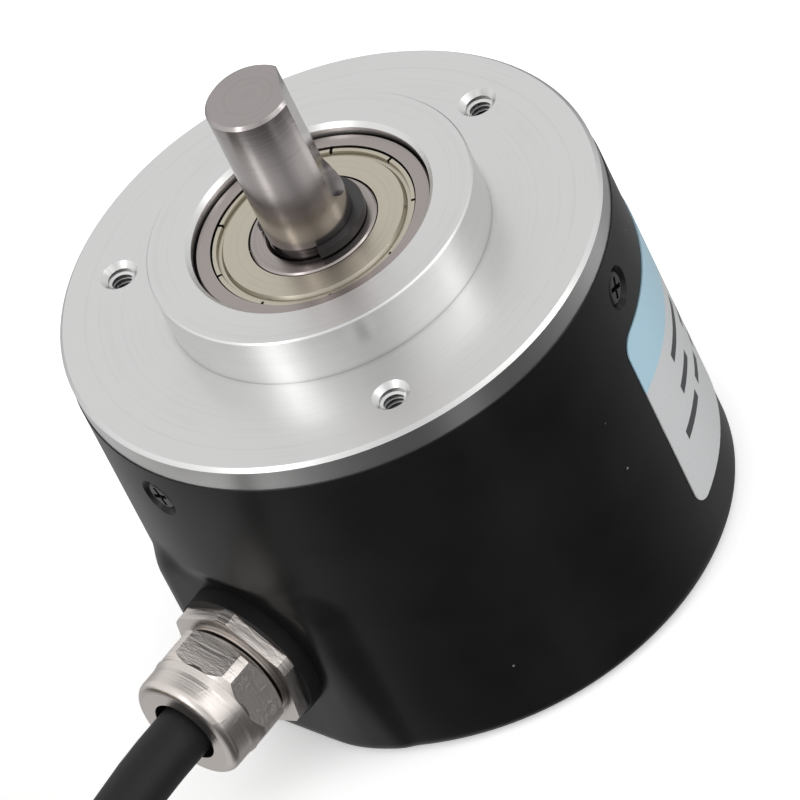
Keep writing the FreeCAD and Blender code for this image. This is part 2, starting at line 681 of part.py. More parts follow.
def lead_points(index):
    """One flying lead: out of the cable's end, and along the coil in the room that the last turn leaves."""
    upper = index % 2
    lane = 0.78 * (index - 2)
    low = coil_span()[3] - 2 * CABLE_R + LEAD_R + 0.06 + upper * 1.25
    middle = coil_span()[3] - CABLE_R
    star = radians((198, 126, 270, 54, 342)[index])
    last = 50 + 0.7 * (index * 2 % 5)
    side, high = 1.45 * cos(star), middle + 1.45 * sin(star)
    places = [
        (0.3, side, high),
        (10, 0.4 * side + 0.6 * lane, 0.4 * high + 0.6 * low),
        (23, lane - 0.15, low + 0.04),
        (36, lane + 0.2, low),
        (last, lane * 1.15 - 0.05, low + 0.08)]
    return [coil_point(COIL_OUTER_TURN + out, angle - COIL_SHORT_DEG, z) for angle, out, z in places]


def flying_lead(index):
    return tube(lead_points(index), LEAD_R)


def lead_tips():
    made = []
    for i in range(len(LEAD_NAMES)):
        before, end = lead_points(i)[-2:]
        made.append(Part.makeCylinder(0.4, 5.0, end, end - before))
    return group(made)


def inner_leads():
    """The five conductors between the cable's inner end and the board's connector."""
    made = []
    for i in range(5):
        start = gland_point(CABLE_INNER_END - 0.35, (i - 2) * 1.0, GLAND_Z + (0.6 if i % 2 else -0.6))
        bend = gland_point(15.3, (i - 2) * 1.7, 14.8)
        end = gland_point(13.35, (i - 2) * 2.2, BOARD_REAR - 2.6)
        for a, b in ((start, bend), (bend, end)):
            made.append(Part.makeCylinder(0.45, (b - a).Length, a, b - a))
        made.append(Part.makeSphere(0.45, bend))
    parts = [made[3 * i].fuse([made[3 * i + 1], made[3 * i + 2]]) for i in range(5)]
    return group(parts)


PARTS = {
    "front_flange": front_flange(),
    "front_bearing_outer_ring": outer_ring(FRONT),
    "front_bearing_inner_ring": inner_ring(FRONT),
    "front_bearing_balls": balls(FRONT),
    "front_bearing_cage": cage(FRONT),
    "front_bearing_front_shield": front_shield(),
    "front_bearing_back_shield": back_shield(),
    "rear_bearing_outer_ring": outer_ring(REAR),
    "rear_bearing_inner_ring": inner_ring(REAR),
    "rear_bearing_balls": balls(REAR),
    "rear_bearing_cage": cage(REAR),
    "rear_bearing_shields": rear_shields(),
    "preload_wave_washer": preload_washer(),
    "inner_ring_spacer": inner_spacer(),
    "shaft": shaft(),
    "shaft_snap_ring": snap_ring(),
    "disc_hub": disc_hub(),
    "code_disc": code_disc(),
    "disc_clamp_washer": disc_clamp(),
    "disc_screw": disc_screw(),
    "circuit_board": circuit_board(),
    "light_block": light_block(),
    "light_emitter": light_emitter(),
    "emitter_leads": emitter_leads(),
    "detector_chip": detector_chip(),
    "reticle": reticle(),
    "board_chips": board_chips(),
    "board_small_parts": board_small_parts(),
    "wire_connector": wire_connector(),
    "board_standoffs": board_standoffs(),
    "board_screws": board_screws(),
    "housing_cup": housing_cup(),
    "cover_seal_ring": cover_seal_ring(),
    "cover_screws": cover_screws(),
    "rating_label": rating_label(),
    "gland_gasket": gland_gasket(),
    "gland_body": gland_body(),
    "gland_lock_nut": gland_lock_nut(),
    "gland_dome_nut": gland_dome_nut(),
    "gland_seal": gland_seal(),
    "inner_leads": inner_leads(),
    "cable": cable(),
    "cable_coil": cable_coil(),
    "cable_tie": cable_tie(),
    "lead_tips": lead_tips(),
}
for number, colour in enumerate(LEAD_NAMES):
    PARTS["lead_" + colour] = flying_lead(number)

os.makedirs("parts", exist_ok=True)
for name, shape in PARTS.items():
    solids = shape.Solids
    sound = all(s.isValid() and s.isClosed() and s.Volume > 0 for s in solids)
    print("%-28s %d solids %10.2f mm3 %s" % (name, len(solids), sum(s.Volume for s in solids), "ok" if sound else "BAD"))
    whole = solids[0] if len(solids) == 1 else Part.makeCompound(solids)
    whole.exportStep("parts/%s.step" % name)
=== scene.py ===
# The looks of a flanged rotary encoder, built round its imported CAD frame. Metres; the shaft's axis is Z.
import json
from math import cos, hypot, pi, radians, remainder, sin

import bpy
from mathutils import Matrix, Vector


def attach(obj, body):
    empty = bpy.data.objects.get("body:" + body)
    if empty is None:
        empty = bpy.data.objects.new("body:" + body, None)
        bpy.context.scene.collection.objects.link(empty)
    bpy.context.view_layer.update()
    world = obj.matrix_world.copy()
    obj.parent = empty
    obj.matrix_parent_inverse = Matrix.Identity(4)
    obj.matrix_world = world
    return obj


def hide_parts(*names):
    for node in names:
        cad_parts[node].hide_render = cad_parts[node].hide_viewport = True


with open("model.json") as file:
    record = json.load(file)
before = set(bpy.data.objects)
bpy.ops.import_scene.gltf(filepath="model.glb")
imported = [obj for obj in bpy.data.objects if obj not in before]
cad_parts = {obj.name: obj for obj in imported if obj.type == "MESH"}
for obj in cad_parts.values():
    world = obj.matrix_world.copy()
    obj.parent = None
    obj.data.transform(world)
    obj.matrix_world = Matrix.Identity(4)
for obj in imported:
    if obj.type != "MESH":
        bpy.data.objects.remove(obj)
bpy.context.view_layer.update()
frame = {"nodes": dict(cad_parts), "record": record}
cad_nodes = frame["nodes"]

MM = 0.001
BODY_DEPTH = 36.8 * MM
CUP_R = 25.1 * MM
GLAND_AZIMUTH_DEG = -149.5
GLAND_AZIMUTH = radians(GLAND_AZIMUTH_DEG)
GLAND_Z = 11.8 * MM
GLAND_OUT = Vector((cos(GLAND_AZIMUTH), sin(GLAND_AZIMUTH), 0))
GLAND_SIDE = Vector((-GLAND_OUT.y, GLAND_OUT.x, 0))
GLAND_HOLE_R = 4.05 * MM

CUP_REAR_ROUND = 1.5 * MM
CUP_WALL = 1.0 * MM
CUP_TOP = 34.3 * MM
COVER_SCREW_AZIMUTHS = (-155, -35, 85)
COVER_SCREW_Z = 30.6 * MM
COVER_SEAT_R = 2.15 * MM        # mouth of each screw's dished seat
COVER_SEAT_FLOOR_R = 1.1 * MM
COVER_HEAD_R = 1.62 * MM
COVER_HEAD_THICK = 1.0 * MM
COVER_HEAD_MIDDLE = 24.38 * MM   # distance of a head's middle from the shaft's axis
PAD_FACE = 24.6 * MM
PAD_HALF = 9.3 * MM
PAD_TOP = 20.2 * MM
PAD_CORNER = 3.0 * MM
PAD_SLOPE = 1.2
PAD_REACH_R = 26.4 * MM
PAD_LOW_R = 25.0 * MM
PAD_TAPER = 13.0 * MM
PAD_ARC = radians(40)            # the pad is nowhere further round than this
PAD_EDGE_SOFT = 1.7 * MM
PAD_REACH_SOFT = 0.5 * MM
PAD_RECESS_SOFT = 0.8 * MM
DRUM_SOFT = 0.25 * MM
PAD_MIDDLE_HALF = 4 * MM         # no blend into the drum within this of the pad's middle
PAD_BLEND = 0.9 * MM

MOUNT_CIRCLE_R = 20 * MM
MOUNT_AZIMUTHS = (-93.3, 26.7, 146.7)
MOUNT_HOLE_R = 1.25 * MM
THREAD_PITCH = 0.5 * MM
THREAD_DEPTH = 0.26 * MM
THREAD_HALF = 0.12 * MM          # half a ridge's width at the wall
THREAD_GAP = 0.005 * MM          # between a ridge's foot and the wall
THREAD_TURNS = 10

CABLE_R = 2.6 * MM
COIL_LAYERS = 4
COIL_TURNS = 2.5
COIL_STEP = 5.3 * MM
COIL_OUTER_TURN = 36.6 * MM
COIL_LOW = 3.2 * MM
COIL_ENTRY = 88 * MM
COIL_SHORT_DEG = 82
POINTS_PER_TURN = 16


def polar(radius, azimuth, z=0.0):
    """Point at an azimuth in degrees round the shaft's axis."""
    return Vector((radius * cos(radians(azimuth)), radius * sin(radians(azimuth)), z))


def gland_point(along, side, z):
    return GLAND_OUT * along + GLAND_SIDE * side + Vector((0, 0, z))


# ---------------------------------------------------------------- camera

VIEW_PLACE = Vector((-19.153, -694.461, 623.748)) * MM
VIEW_AZIMUTH = 88.429            # degrees: where the lens points, how far it tips up, its roll
VIEW_PITCH = -41.069
VIEW_ROLL = -26.871


def make_camera():
    """Long lens, high on the shaft's side, rolled so that the shaft leans to the left."""
    data = bpy.data.cameras.new("camera")
    data.lens = 473.6
    data.sensor_width = 36
    data.clip_start = 0.05
    data.clip_end = 20
    camera = bpy.data.objects.new("camera", data)
    bpy.context.scene.collection.objects.link(camera)
    heading = Matrix.Rotation(radians(VIEW_AZIMUTH - 90), 4, "Z")
    pitch = Matrix.Rotation(radians(90 + VIEW_PITCH), 4, "X")
    roll = Matrix.Rotation(radians(VIEW_ROLL), 4, "Z")
    camera.matrix_world = Matrix.Translation(VIEW_PLACE) @ heading @ pitch @ roll
    bpy.context.scene.camera = camera


make_camera()


# ---------------------------------------------------------------- cable

def route_curve(name, points):
    """Smooth spline with these control points."""
    data = bpy.data.curves.new(name, "CURVE")
    data.dimensions = "3D"
    data.resolution_u = 4
    spline = data.splines.new("NURBS")
    spline.points.add(len(points) - 1)
    for point, place in zip(spline.points, points):
        point.co = (*place, 1)
    spline.order_u = 3
    spline.use_endpoint_u = True
    piece = bpy.data.objects.new(name, data)
    bpy.context.scene.collection.objects.link(piece)
    return piece


def coil_points():
    """Turns of the put-away cable: inwards on the surface, up a layer, outwards, and so on to the top."""
    centre = gland_point(COIL_ENTRY, -COIL_OUTER_TURN, 0)
    steps = int(COIL_TURNS * POINTS_PER_TURN)
    last_step = steps - round(COIL_SHORT_DEG / 360 * POINTS_PER_TURN)
    inner_turn = COIL_OUTER_TURN - COIL_STEP * COIL_TURNS
    points = []
    for layer in range(COIL_LAYERS):
        high = COIL_LOW + COIL_STEP * layer
        for step in range(last_step + 1 if layer == COIL_LAYERS - 1 else steps):
            part = step / steps
            inward = part if layer % 2 == 0 else 1 - part
            radius = COIL_OUTER_TURN + (inner_turn - COIL_OUTER_TURN) * inward
            drop = 0
            if layer > 0 and step < 4:
                drop = COIL_STEP * (1 - (step + 0.5) / 4)
            turn = (layer + part) * COIL_TURNS * 2 * pi
            out = GLAND_SIDE * cos(turn) + GLAND_OUT * sin(turn)
            points.append(centre + out * radius + Vector((0, 0, high - drop)))
    return points


def cable_points():
    lead = [
        gland_point(17 * MM, 0, GLAND_Z),
        gland_point(34 * MM, 0, GLAND_Z),
        gland_point(43 * MM, 0, GLAND_Z),
        gland_point(68 * MM, 0.6 * MM, GLAND_Z - 4.4 * MM)]
    return lead + coil_points()


def make_cable():
    """Round jacket along the route, from inside the gland to the top of the coil."""
    route = route_curve("cable_jacket", cable_points())
    line = bpy.data.meshes.new_from_object(route)
    bpy.data.meshes.remove(line)
    route.data.bevel_depth = CABLE_R
    route.data.bevel_resolution = 6
    route.data.use_fill_caps = True
    bpy.ops.object.select_all(action="DESELECT")
    route.select_set(True)
    bpy.context.view_layer.objects.active = route
    bpy.ops.object.convert(target="MESH")
    jacket = bpy.context.object
    bpy.ops.object.mode_set(mode="EDIT")
    bpy.ops.mesh.select_all(action="SELECT")
    bpy.ops.mesh.remove_doubles(threshold=0.00001)
    bpy.ops.mesh.normals_make_consistent(inside=False)
    bpy.ops.object.mode_set(mode="OBJECT")
    bpy.ops.object.shade_smooth_by_angle(angle=radians(50))
    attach(jacket, "base")
    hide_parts("cable", "cable_coil")
    return jacket


cable = make_cable()


# ---------------------------------------------------------------- housing

def soft_step(gap, width):
    """Nothing while the gap is well below zero, the gap itself well above it, and a round bend between."""
    if gap <= -width:
        return 0.0
    if gap >= width:
        return gap
    return (gap + width) ** 2 / (4 * width)


def soft_max(first, second, width):
    return first + soft_step(second - first, width)


def soft_min(first, second, width):
    return first - soft_step(first - second, width)


def cup_radius(angle, z):
    """Outside of the cup at an angle: a round drum, and the soft-edged pad under the gland."""
    around = remainder(angle - GLAND_AZIMUTH, 2 * pi)
    if abs(around) > PAD_ARC:
        return CUP_R
    side = abs(CUP_R * sin(around))
    over_side = max(side - PAD_HALF + PAD_CORNER, 0)
    over_top = max(z - PAD_TOP + PAD_CORNER, 0)
    past = hypot(over_side, over_top) - PAD_CORNER
    face = (PAD_FACE - PAD_SLOPE * soft_step(past, PAD_EDGE_SOFT)) / cos(around)
    reach = PAD_LOW_R + (PAD_REACH_R - PAD_LOW_R) * min(z / PAD_TAPER, 1)
    pad = soft_min(face, reach, PAD_REACH_SOFT)
    recess = (PAD_FACE + soft_step(z - PAD_TOP, PAD_RECESS_SOFT)) / cos(around)
    drum = soft_min(CUP_R, recess, DRUM_SOFT)
    blend = min(max((side - PAD_MIDDLE_HALF) / PAD_MIDDLE_HALF, 0.001), 1)
    return soft_max(drum, pad, blend * PAD_BLEND)


def cup_profile():
    """Radius and height of each row of the cup's outside, from the middle of its rear face to the flange."""
    rows = [(CUP_R * part, 0) for part in (0, 0.3, 0.6, 0.8, 0.9)]
    inner = CUP_R - CUP_REAR_ROUND
    for step in range(8):
        turn = radians(90 * step / 7)
        rows.append((inner + CUP_REAR_ROUND * sin(turn), CUP_REAR_ROUND * (1 - cos(turn))))
    wall_rows = 56
    for step in range(wall_rows):
        rows.append((CUP_R, CUP_REAR_ROUND + (CUP_TOP - CUP_REAR_ROUND) * (step + 1) / wall_rows))
    return rows


def cut_away(piece, cutter):
    """Takes the cutter's shape out of the piece, and deletes the cutter."""
    bpy.context.view_layer.objects.active = piece
    hole = piece.modifiers.new("hole", "BOOLEAN")
    hole.operation = "DIFFERENCE"
    hole.solver = "EXACT"
    hole.object = cutter
    bpy.ops.object.modifier_apply(modifier="hole")
    bpy.data.objects.remove(cutter)


def cone_along(low_r, high_r, low, high, azimuth, z):
    """Cone whose axis points out from the shaft, between two distances from it."""
    bpy.ops.mesh.primitive_cone_add(
        vertices=64, radius1=low_r, radius2=high_r, depth=high - low,
        location=polar((low + high) / 2, azimuth, z), rotation=(0, radians(90), radians(azimuth)))
    return bpy.context.object


def make_housing():
    """Cup with soft pad edges, dished seats for its screws and the gland's hole."""
    rows = cup_profile()
    columns = 360
    bpy.ops.object.select_all(action="DESELECT")
    bpy.ops.mesh.primitive_grid_add(x_subdivisions=columns, y_subdivisions=len(rows) - 1, size=2)
    cup = bpy.context.object
    cup.name = "housing_shell"
    for vertex in cup.data.vertices:
        angle = pi * vertex.co.x
        radius, z = rows[round((vertex.co.y + 1) / 2 * (len(rows) - 1))]
        swell = cup_radius(angle, max(z, CUP_REAR_ROUND)) - CUP_R
        radius += swell * (radius / CUP_R) ** 6
        vertex.co = (radius * cos(angle), radius * sin(angle), z)
    bpy.ops.object.mode_set(mode="EDIT")
    bpy.ops.mesh.select_all(action="SELECT")
    bpy.ops.mesh.remove_doubles(threshold=0.00001)
    bpy.ops.mesh.normals_make_consistent(inside=False)
    bpy.ops.object.mode_set(mode="OBJECT")
    wall = cup.modifiers.new("wall", "SOLIDIFY")
    wall.thickness = CUP_WALL
    wall.offset = -1
    bpy.ops.object.modifier_apply(modifier="wall")
    cutters = [cone_along(COVER_SEAT_FLOOR_R, COVER_SEAT_R, 24.0 * MM, 25.3 * MM, azimuth, COVER_SCREW_Z)
               for azimuth in COVER_SCREW_AZIMUTHS]
    cutters.append(cone_along(GLAND_HOLE_R, GLAND_HOLE_R, 20 * MM, 28 * MM, GLAND_AZIMUTH_DEG, GLAND_Z))
    for cutter in cutters:
        cut_away(cup, cutter)
    bpy.ops.object.select_all(action="DESELECT")
    cup.select_set(True)
    bpy.context.view_layer.objects.active = cup
    bpy.ops.object.shade_smooth_by_angle(angle=radians(32))
    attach(cup, "base")
    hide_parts("housing_cup")
    return cup


housing = make_housing()


# ---------------------------------------------------------------- cover screws

def cover_screw(azimuth, turn):
    """Domed head with a cross recess, on its shank."""
    bpy.ops.object.select_all(action="DESELECT")
    bpy.ops.mesh.primitive_cylinder_add(vertices=48, radius=COVER_HEAD_R, depth=COVER_HEAD_THICK)
    head = bpy.context.object
    bpy.ops.object.mode_set(mode="EDIT")
    bpy.ops.mesh.select_mode(type="EDGE")
    bpy.ops.mesh.select_all(action="DESELECT")
    bpy.ops.object.mode_set(mode="OBJECT")
    for edge in head.data.edges:
        edge.select = all(head.data.vertices[v].co.z > COVER_HEAD_THICK * 0.4 for v in edge.vertices)
    bpy.ops.object.mode_set(mode="EDIT")
    bpy.ops.mesh.bevel(offset=0.5 * MM, segments=5, affect="EDGES")
    bpy.ops.object.mode_set(mode="OBJECT")
    for quarter in (0, 90):
        bpy.ops.mesh.primitive_cube_add(size=1, location=(0, 0, COVER_HEAD_THICK / 2),
                                        rotation=(0, 0, radians(quarter)))
        slot = bpy.context.object
        slot.scale = (2.0 * MM, 0.42 * MM, 1.3 * MM)
        bpy.context.view_layer.update()
        cut_away(head, slot)
    bpy.ops.mesh.primitive_cone_add(vertices=24, radius1=0.1 * MM, radius2=0.62 * MM, depth=1.4 * MM,
                                    location=(0, 0, COVER_HEAD_THICK / 2))
    cut_away(head, bpy.context.object)
    bpy.ops.mesh.primitive_cylinder_add(vertices=32, radius=1.0 * MM, depth=2.3 * MM,
                                        location=(0, 0, -1.6 * MM))
    shank = bpy.context.object
    bpy.ops.object.select_all(action="DESELECT")
    shank.select_set(True)
    head.select_set(True)
    bpy.context.view_layer.objects.active = head
    bpy.ops.object.join()
    outwards = Matrix.Rotation(radians(azimuth), 4, "Z") @ Matrix.Rotation(radians(90), 4, "Y")
    head.matrix_world = (Matrix.Translation(polar(COVER_HEAD_MIDDLE, azimuth, COVER_SCREW_Z)) @ outwards
                         @ Matrix.Rotation(radians(turn), 4, "Z"))
    bpy.ops.object.transform_apply(location=True, rotation=True, scale=True)
    return head


def make_cover_screws():
    made = [cover_screw(azimuth, turn) for azimuth, turn in zip(COVER_SCREW_AZIMUTHS, (20, 62, 75))]
    bpy.ops.object.select_all(action="DESELECT")
    for screw in made:
        screw.select_set(True)
    bpy.context.view_layer.objects.active = made[0]
    bpy.ops.object.join()
    screws = bpy.context.object
    screws.name = "cover_screw_set"
    bpy.ops.object.shade_smooth_by_angle(angle=radians(35))
    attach(screws, "base")
    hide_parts("cover_screws")
    return screws


cover_screws = make_cover_screws()


# ---------------------------------------------------------------- threads

def thread_turns(name, azimuth, turns):
    """Helical ridge on the wall of a mounting hole."""
    place = polar(MOUNT_CIRCLE_R, azimuth, BODY_DEPTH - 0.6 * MM - turns * THREAD_PITCH)
    bpy.ops.object.select_all(action="DESELECT")
    bpy.ops.mesh.primitive_circle_add(vertices=3, radius=0.25 * MM, location=place)
    ridge = bpy.context.object
    ridge.name = name
    tip, low, high = ridge.data.vertices
    tip.co = (MOUNT_HOLE_R - THREAD_DEPTH, 0, 0)
    low.co = (MOUNT_HOLE_R - THREAD_GAP, 0, -THREAD_HALF)
    high.co = (MOUNT_HOLE_R - THREAD_GAP, 0, THREAD_HALF)
    winding = ridge.modifiers.new("winding", "SCREW")
    winding.axis = "Z"
    winding.angle = 2 * pi
    winding.iterations = turns
    winding.screw_offset = THREAD_PITCH
    winding.steps = 48
    winding.render_steps = 48
    bpy.ops.object.modifier_apply(modifier="winding")
    bpy.ops.object.mode_set(mode="EDIT")
    bpy.ops.mesh.select_all(action="SELECT")
    bpy.ops.mesh.remove_doubles(threshold=0.000002)
    bpy.ops.mesh.fill_holes(sides=4)
    bpy.ops.mesh.normals_make_consistent(inside=False)
    bpy.ops.object.mode_set(mode="OBJECT")
    bpy.ops.object.transform_apply(location=True, rotation=True, scale=True)
    bpy.ops.object.shade_smooth_by_angle(angle=radians(40))
    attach(ridge, "base")
    return ridge


threads = [thread_turns("mounting_thread_%d" % (number + 1), azimuth, THREAD_TURNS)
           for number, azimuth in enumerate(MOUNT_AZIMUTHS)]


# ---------------------------------------------------------------- materials

def blank_material(name):
    """Empty node material, ready for its nodes."""
    material = bpy.data.materials.new(name)
    material.use_nodes = True
    material.node_tree.nodes.clear()
    return material


def lay_out(tree):
    """Sets the nodes out in rows, in the order in which they were made."""
    for place, node in enumerate(n for n in tree.nodes if n.type != "FRAME"):
        node.location = (220 * (place % 7), -320 * (place // 7))


def turned_metal(name, light, dark, roughness, ring_scale=2600.0, ring_depth=0.25, turn=(0, 0, 0),
                 centre=(0, 0, 0), scratch=0.12, blotch=0.35, ring_height=0.02 * MM, painted_shade_reach=0.9 * MM,
                 painted_shade_from=0.62):
    """Metal that was turned on a lathe: fine rings about its axis, faint scratches, uneven sheen, and painted
    shade that darkens its colour in corners and holes.

    turn and centre bring the piece's own axis to Z."""
    material = blank_material(name)
    tree = material.node_tree
    nodes, links = tree.nodes, tree.links

    place = nodes.new("ShaderNodeTexCoord")
    place.label = "place on the piece"
    axis = nodes.new("ShaderNodeMapping")
    axis.label = "lathe axis to Z"
    axis.vector_type = "TEXTURE"
    axis.inputs["Location"].default_value = centre
    axis.inputs["Rotation"].default_value = turn
    parts = nodes.new("ShaderNodeSeparateXYZ")
    parts.label = "sideways and lengthways"
    flat = nodes.new("ShaderNodeCombineXYZ")
    flat.label = "sideways only"
    radius = nodes.new("ShaderNodeVectorMath")
    radius.label = "distance from the axis"
    radius.operation = "LENGTH"
    round_axis = nodes.new("ShaderNodeCombineXYZ")
    round_axis.label = "radius and length"
    rings = nodes.new("ShaderNodeTexNoise")
    rings.label = "fine tool rings"
    rings.inputs["Scale"].default_value = ring_scale
    rings.inputs["Detail"].default_value = 4
    rings.inputs["Roughness"].default_value = 0.65
    wide_rings = nodes.new("ShaderNodeTexNoise")
    wide_rings.label = "wider tool rings"
    wide_rings.inputs["Scale"].default_value = ring_scale * 0.22
    wide_rings.inputs["Detail"].default_value = 2
    ring_sum = nodes.new("ShaderNodeMath")
    ring_sum.label = "fine and wide rings"
    ring_sum.operation = "MULTIPLY_ADD"
    ring_sum.inputs[1].default_value = 0.6
    ring_bump = nodes.new("ShaderNodeBump")
    ring_bump.label = "rings as relief"
    ring_bump.inputs["Strength"].default_value = ring_depth
    ring_bump.inputs["Distance"].default_value = ring_height
    group = nodes.new("NodeFrame")
    group.label = "tool rings"
    for node in (axis, parts, flat, radius, round_axis, rings, wide_rings, ring_sum, ring_bump):
        node.parent = group

    streak_place = nodes.new("ShaderNodeMapping")
    streak_place.label = "long thin streaks"
    streak_place.inputs["Rotation"].default_value = (0.4, 0.2, 0.7)
    streak_place.inputs["Scale"].default_value = (90, 1600, 1600)
    streaks = nodes.new("ShaderNodeTexNoise")
    streaks.label = "handling scratches"
    streaks.inputs["Scale"].default_value = 1.0
    streaks.inputs["Detail"].default_value = 3
    streak_edge = nodes.new("ShaderNodeMapRange")
    streak_edge.label = "only the strongest show"
    streak_edge.inputs["From Min"].default_value = 0.62
    streak_edge.inputs["From Max"].default_value = 0.78
    streak_bump = nodes.new("ShaderNodeBump")
    streak_bump.label = "scratches as relief"
    streak_bump.inputs["Strength"].default_value = scratch
    streak_bump.inputs["Distance"].default_value = 0.00002
    group = nodes.new("NodeFrame")
    group.label = "scratches"
    for node in (streak_place, streaks, streak_edge, streak_bump):
        node.parent = group

    cloud = nodes.new("ShaderNodeTexNoise")
    cloud.label = "uneven sheen"
    cloud.inputs["Scale"].default_value = 260
    cloud.inputs["Detail"].default_value = 5
    tone = nodes.new("ShaderNodeMath")
    tone.label = "rings and clouds of tone"
    tone.operation = "MULTIPLY_ADD"
    tone.inputs[1].default_value = blotch
    colour = nodes.new("ShaderNodeValToRGB")
    colour.label = "dark to bright metal"
    colour.color_ramp.elements[0].position = 0.35
    colour.color_ramp.elements[0].color = (*dark, 1)
    colour.color_ramp.elements[1].position = 0.95
    colour.color_ramp.elements[1].color = (*light, 1)
    sheen = nodes.new("ShaderNodeMapRange")
    sheen.label = "roughness from the same clouds"
    sheen.inputs["From Min"].default_value = 0.3
    sheen.inputs["From Max"].default_value = 0.9
    sheen.inputs["To Min"].default_value = roughness * 1.25
    sheen.inputs["To Max"].default_value = roughness * 0.85
    group = nodes.new("NodeFrame")
    group.label = "tone and sheen"
    for node in (cloud, tone, colour, sheen):
        node.parent = group

    # Painted shade: ambient occlusion turns the metal's colour towards near black in corners, holes and
    # crevices, where shade falls.
    corner = nodes.new("ShaderNodeAmbientOcclusion")
    corner.label = "corners and holes"
    corner.samples = 8
    corner.inputs["Distance"].default_value = painted_shade_reach
    corner_edge = nodes.new("ShaderNodeMapRange")
    corner_edge.label = "how much painted shade in them"
    corner_edge.inputs["From Min"].default_value = 0.12
    corner_edge.inputs["From Max"].default_value = painted_shade_from
    corner_edge.inputs["To Min"].default_value = 0.94
    corner_edge.inputs["To Max"].default_value = 0.0
    painted_shade_mix = nodes.new("ShaderNodeMix")
    painted_shade_mix.label = "near-black painted shade"
    painted_shade_mix.data_type = "RGBA"
    painted_shade_mix.inputs["B"].default_value = (0.035, 0.033, 0.030, 1)
    group = nodes.new("NodeFrame")
    group.label = "painted corner shade"
    for node in (corner, corner_edge, painted_shade_mix):
        node.parent = group

    surface = nodes.new("ShaderNodeBsdfPrincipled")
    surface.label = "metal"
    surface.inputs["Metallic"].default_value = 1
    output = nodes.new("ShaderNodeOutputMaterial")
    output.label = "surface"

    links.new(place.outputs["Object"], axis.inputs["Vector"])
    links.new(axis.outputs["Vector"], parts.inputs["Vector"])
    links.new(parts.outputs["X"], flat.inputs["X"])
    links.new(parts.outputs["Y"], flat.inputs["Y"])
    links.new(flat.outputs["Vector"], radius.inputs[0])
    links.new(radius.outputs["Value"], round_axis.inputs["X"])
    links.new(parts.outputs["Z"], round_axis.inputs["Z"])
    links.new(round_axis.outputs["Vector"], rings.inputs["Vector"])
    links.new(round_axis.outputs["Vector"], wide_rings.inputs["Vector"])
    links.new(wide_rings.outputs["Fac"], ring_sum.inputs[0])
    links.new(rings.outputs["Fac"], ring_sum.inputs[2])
    links.new(ring_sum.outputs["Value"], ring_bump.inputs["Height"])
    links.new(place.outputs["Object"], streak_place.inputs["Vector"])
    links.new(streak_place.outputs["Vector"], streaks.inputs["Vector"])
    links.new(streaks.outputs["Fac"], streak_edge.inputs["Value"])
    links.new(streak_edge.outputs["Result"], streak_bump.inputs["Height"])
    links.new(ring_bump.outputs["Normal"], streak_bump.inputs["Normal"])
    links.new(place.outputs["Object"], cloud.inputs["Vector"])
    links.new(cloud.outputs["Fac"], tone.inputs[0])
    links.new(ring_sum.outputs["Value"], tone.inputs[2])
    links.new(tone.outputs["Value"], colour.inputs["Fac"])
    links.new(tone.outputs["Value"], sheen.inputs["Value"])
    links.new(corner.outputs["AO"], corner_edge.inputs["Value"])
    links.new(corner_edge.outputs["Result"], painted_shade_mix.inputs["Factor"])
    links.new(colour.outputs["Color"], painted_shade_mix.inputs["A"])
    links.new(painted_shade_mix.outputs["Result"], surface.inputs["Base Color"])
    links.new(sheen.outputs["Result"], surface.inputs["Roughness"])
    links.new(streak_bump.outputs["Normal"], surface.inputs["Normal"])
    links.new(surface.outputs["BSDF"], output.inputs["Surface"])
    lay_out(tree)
    return material


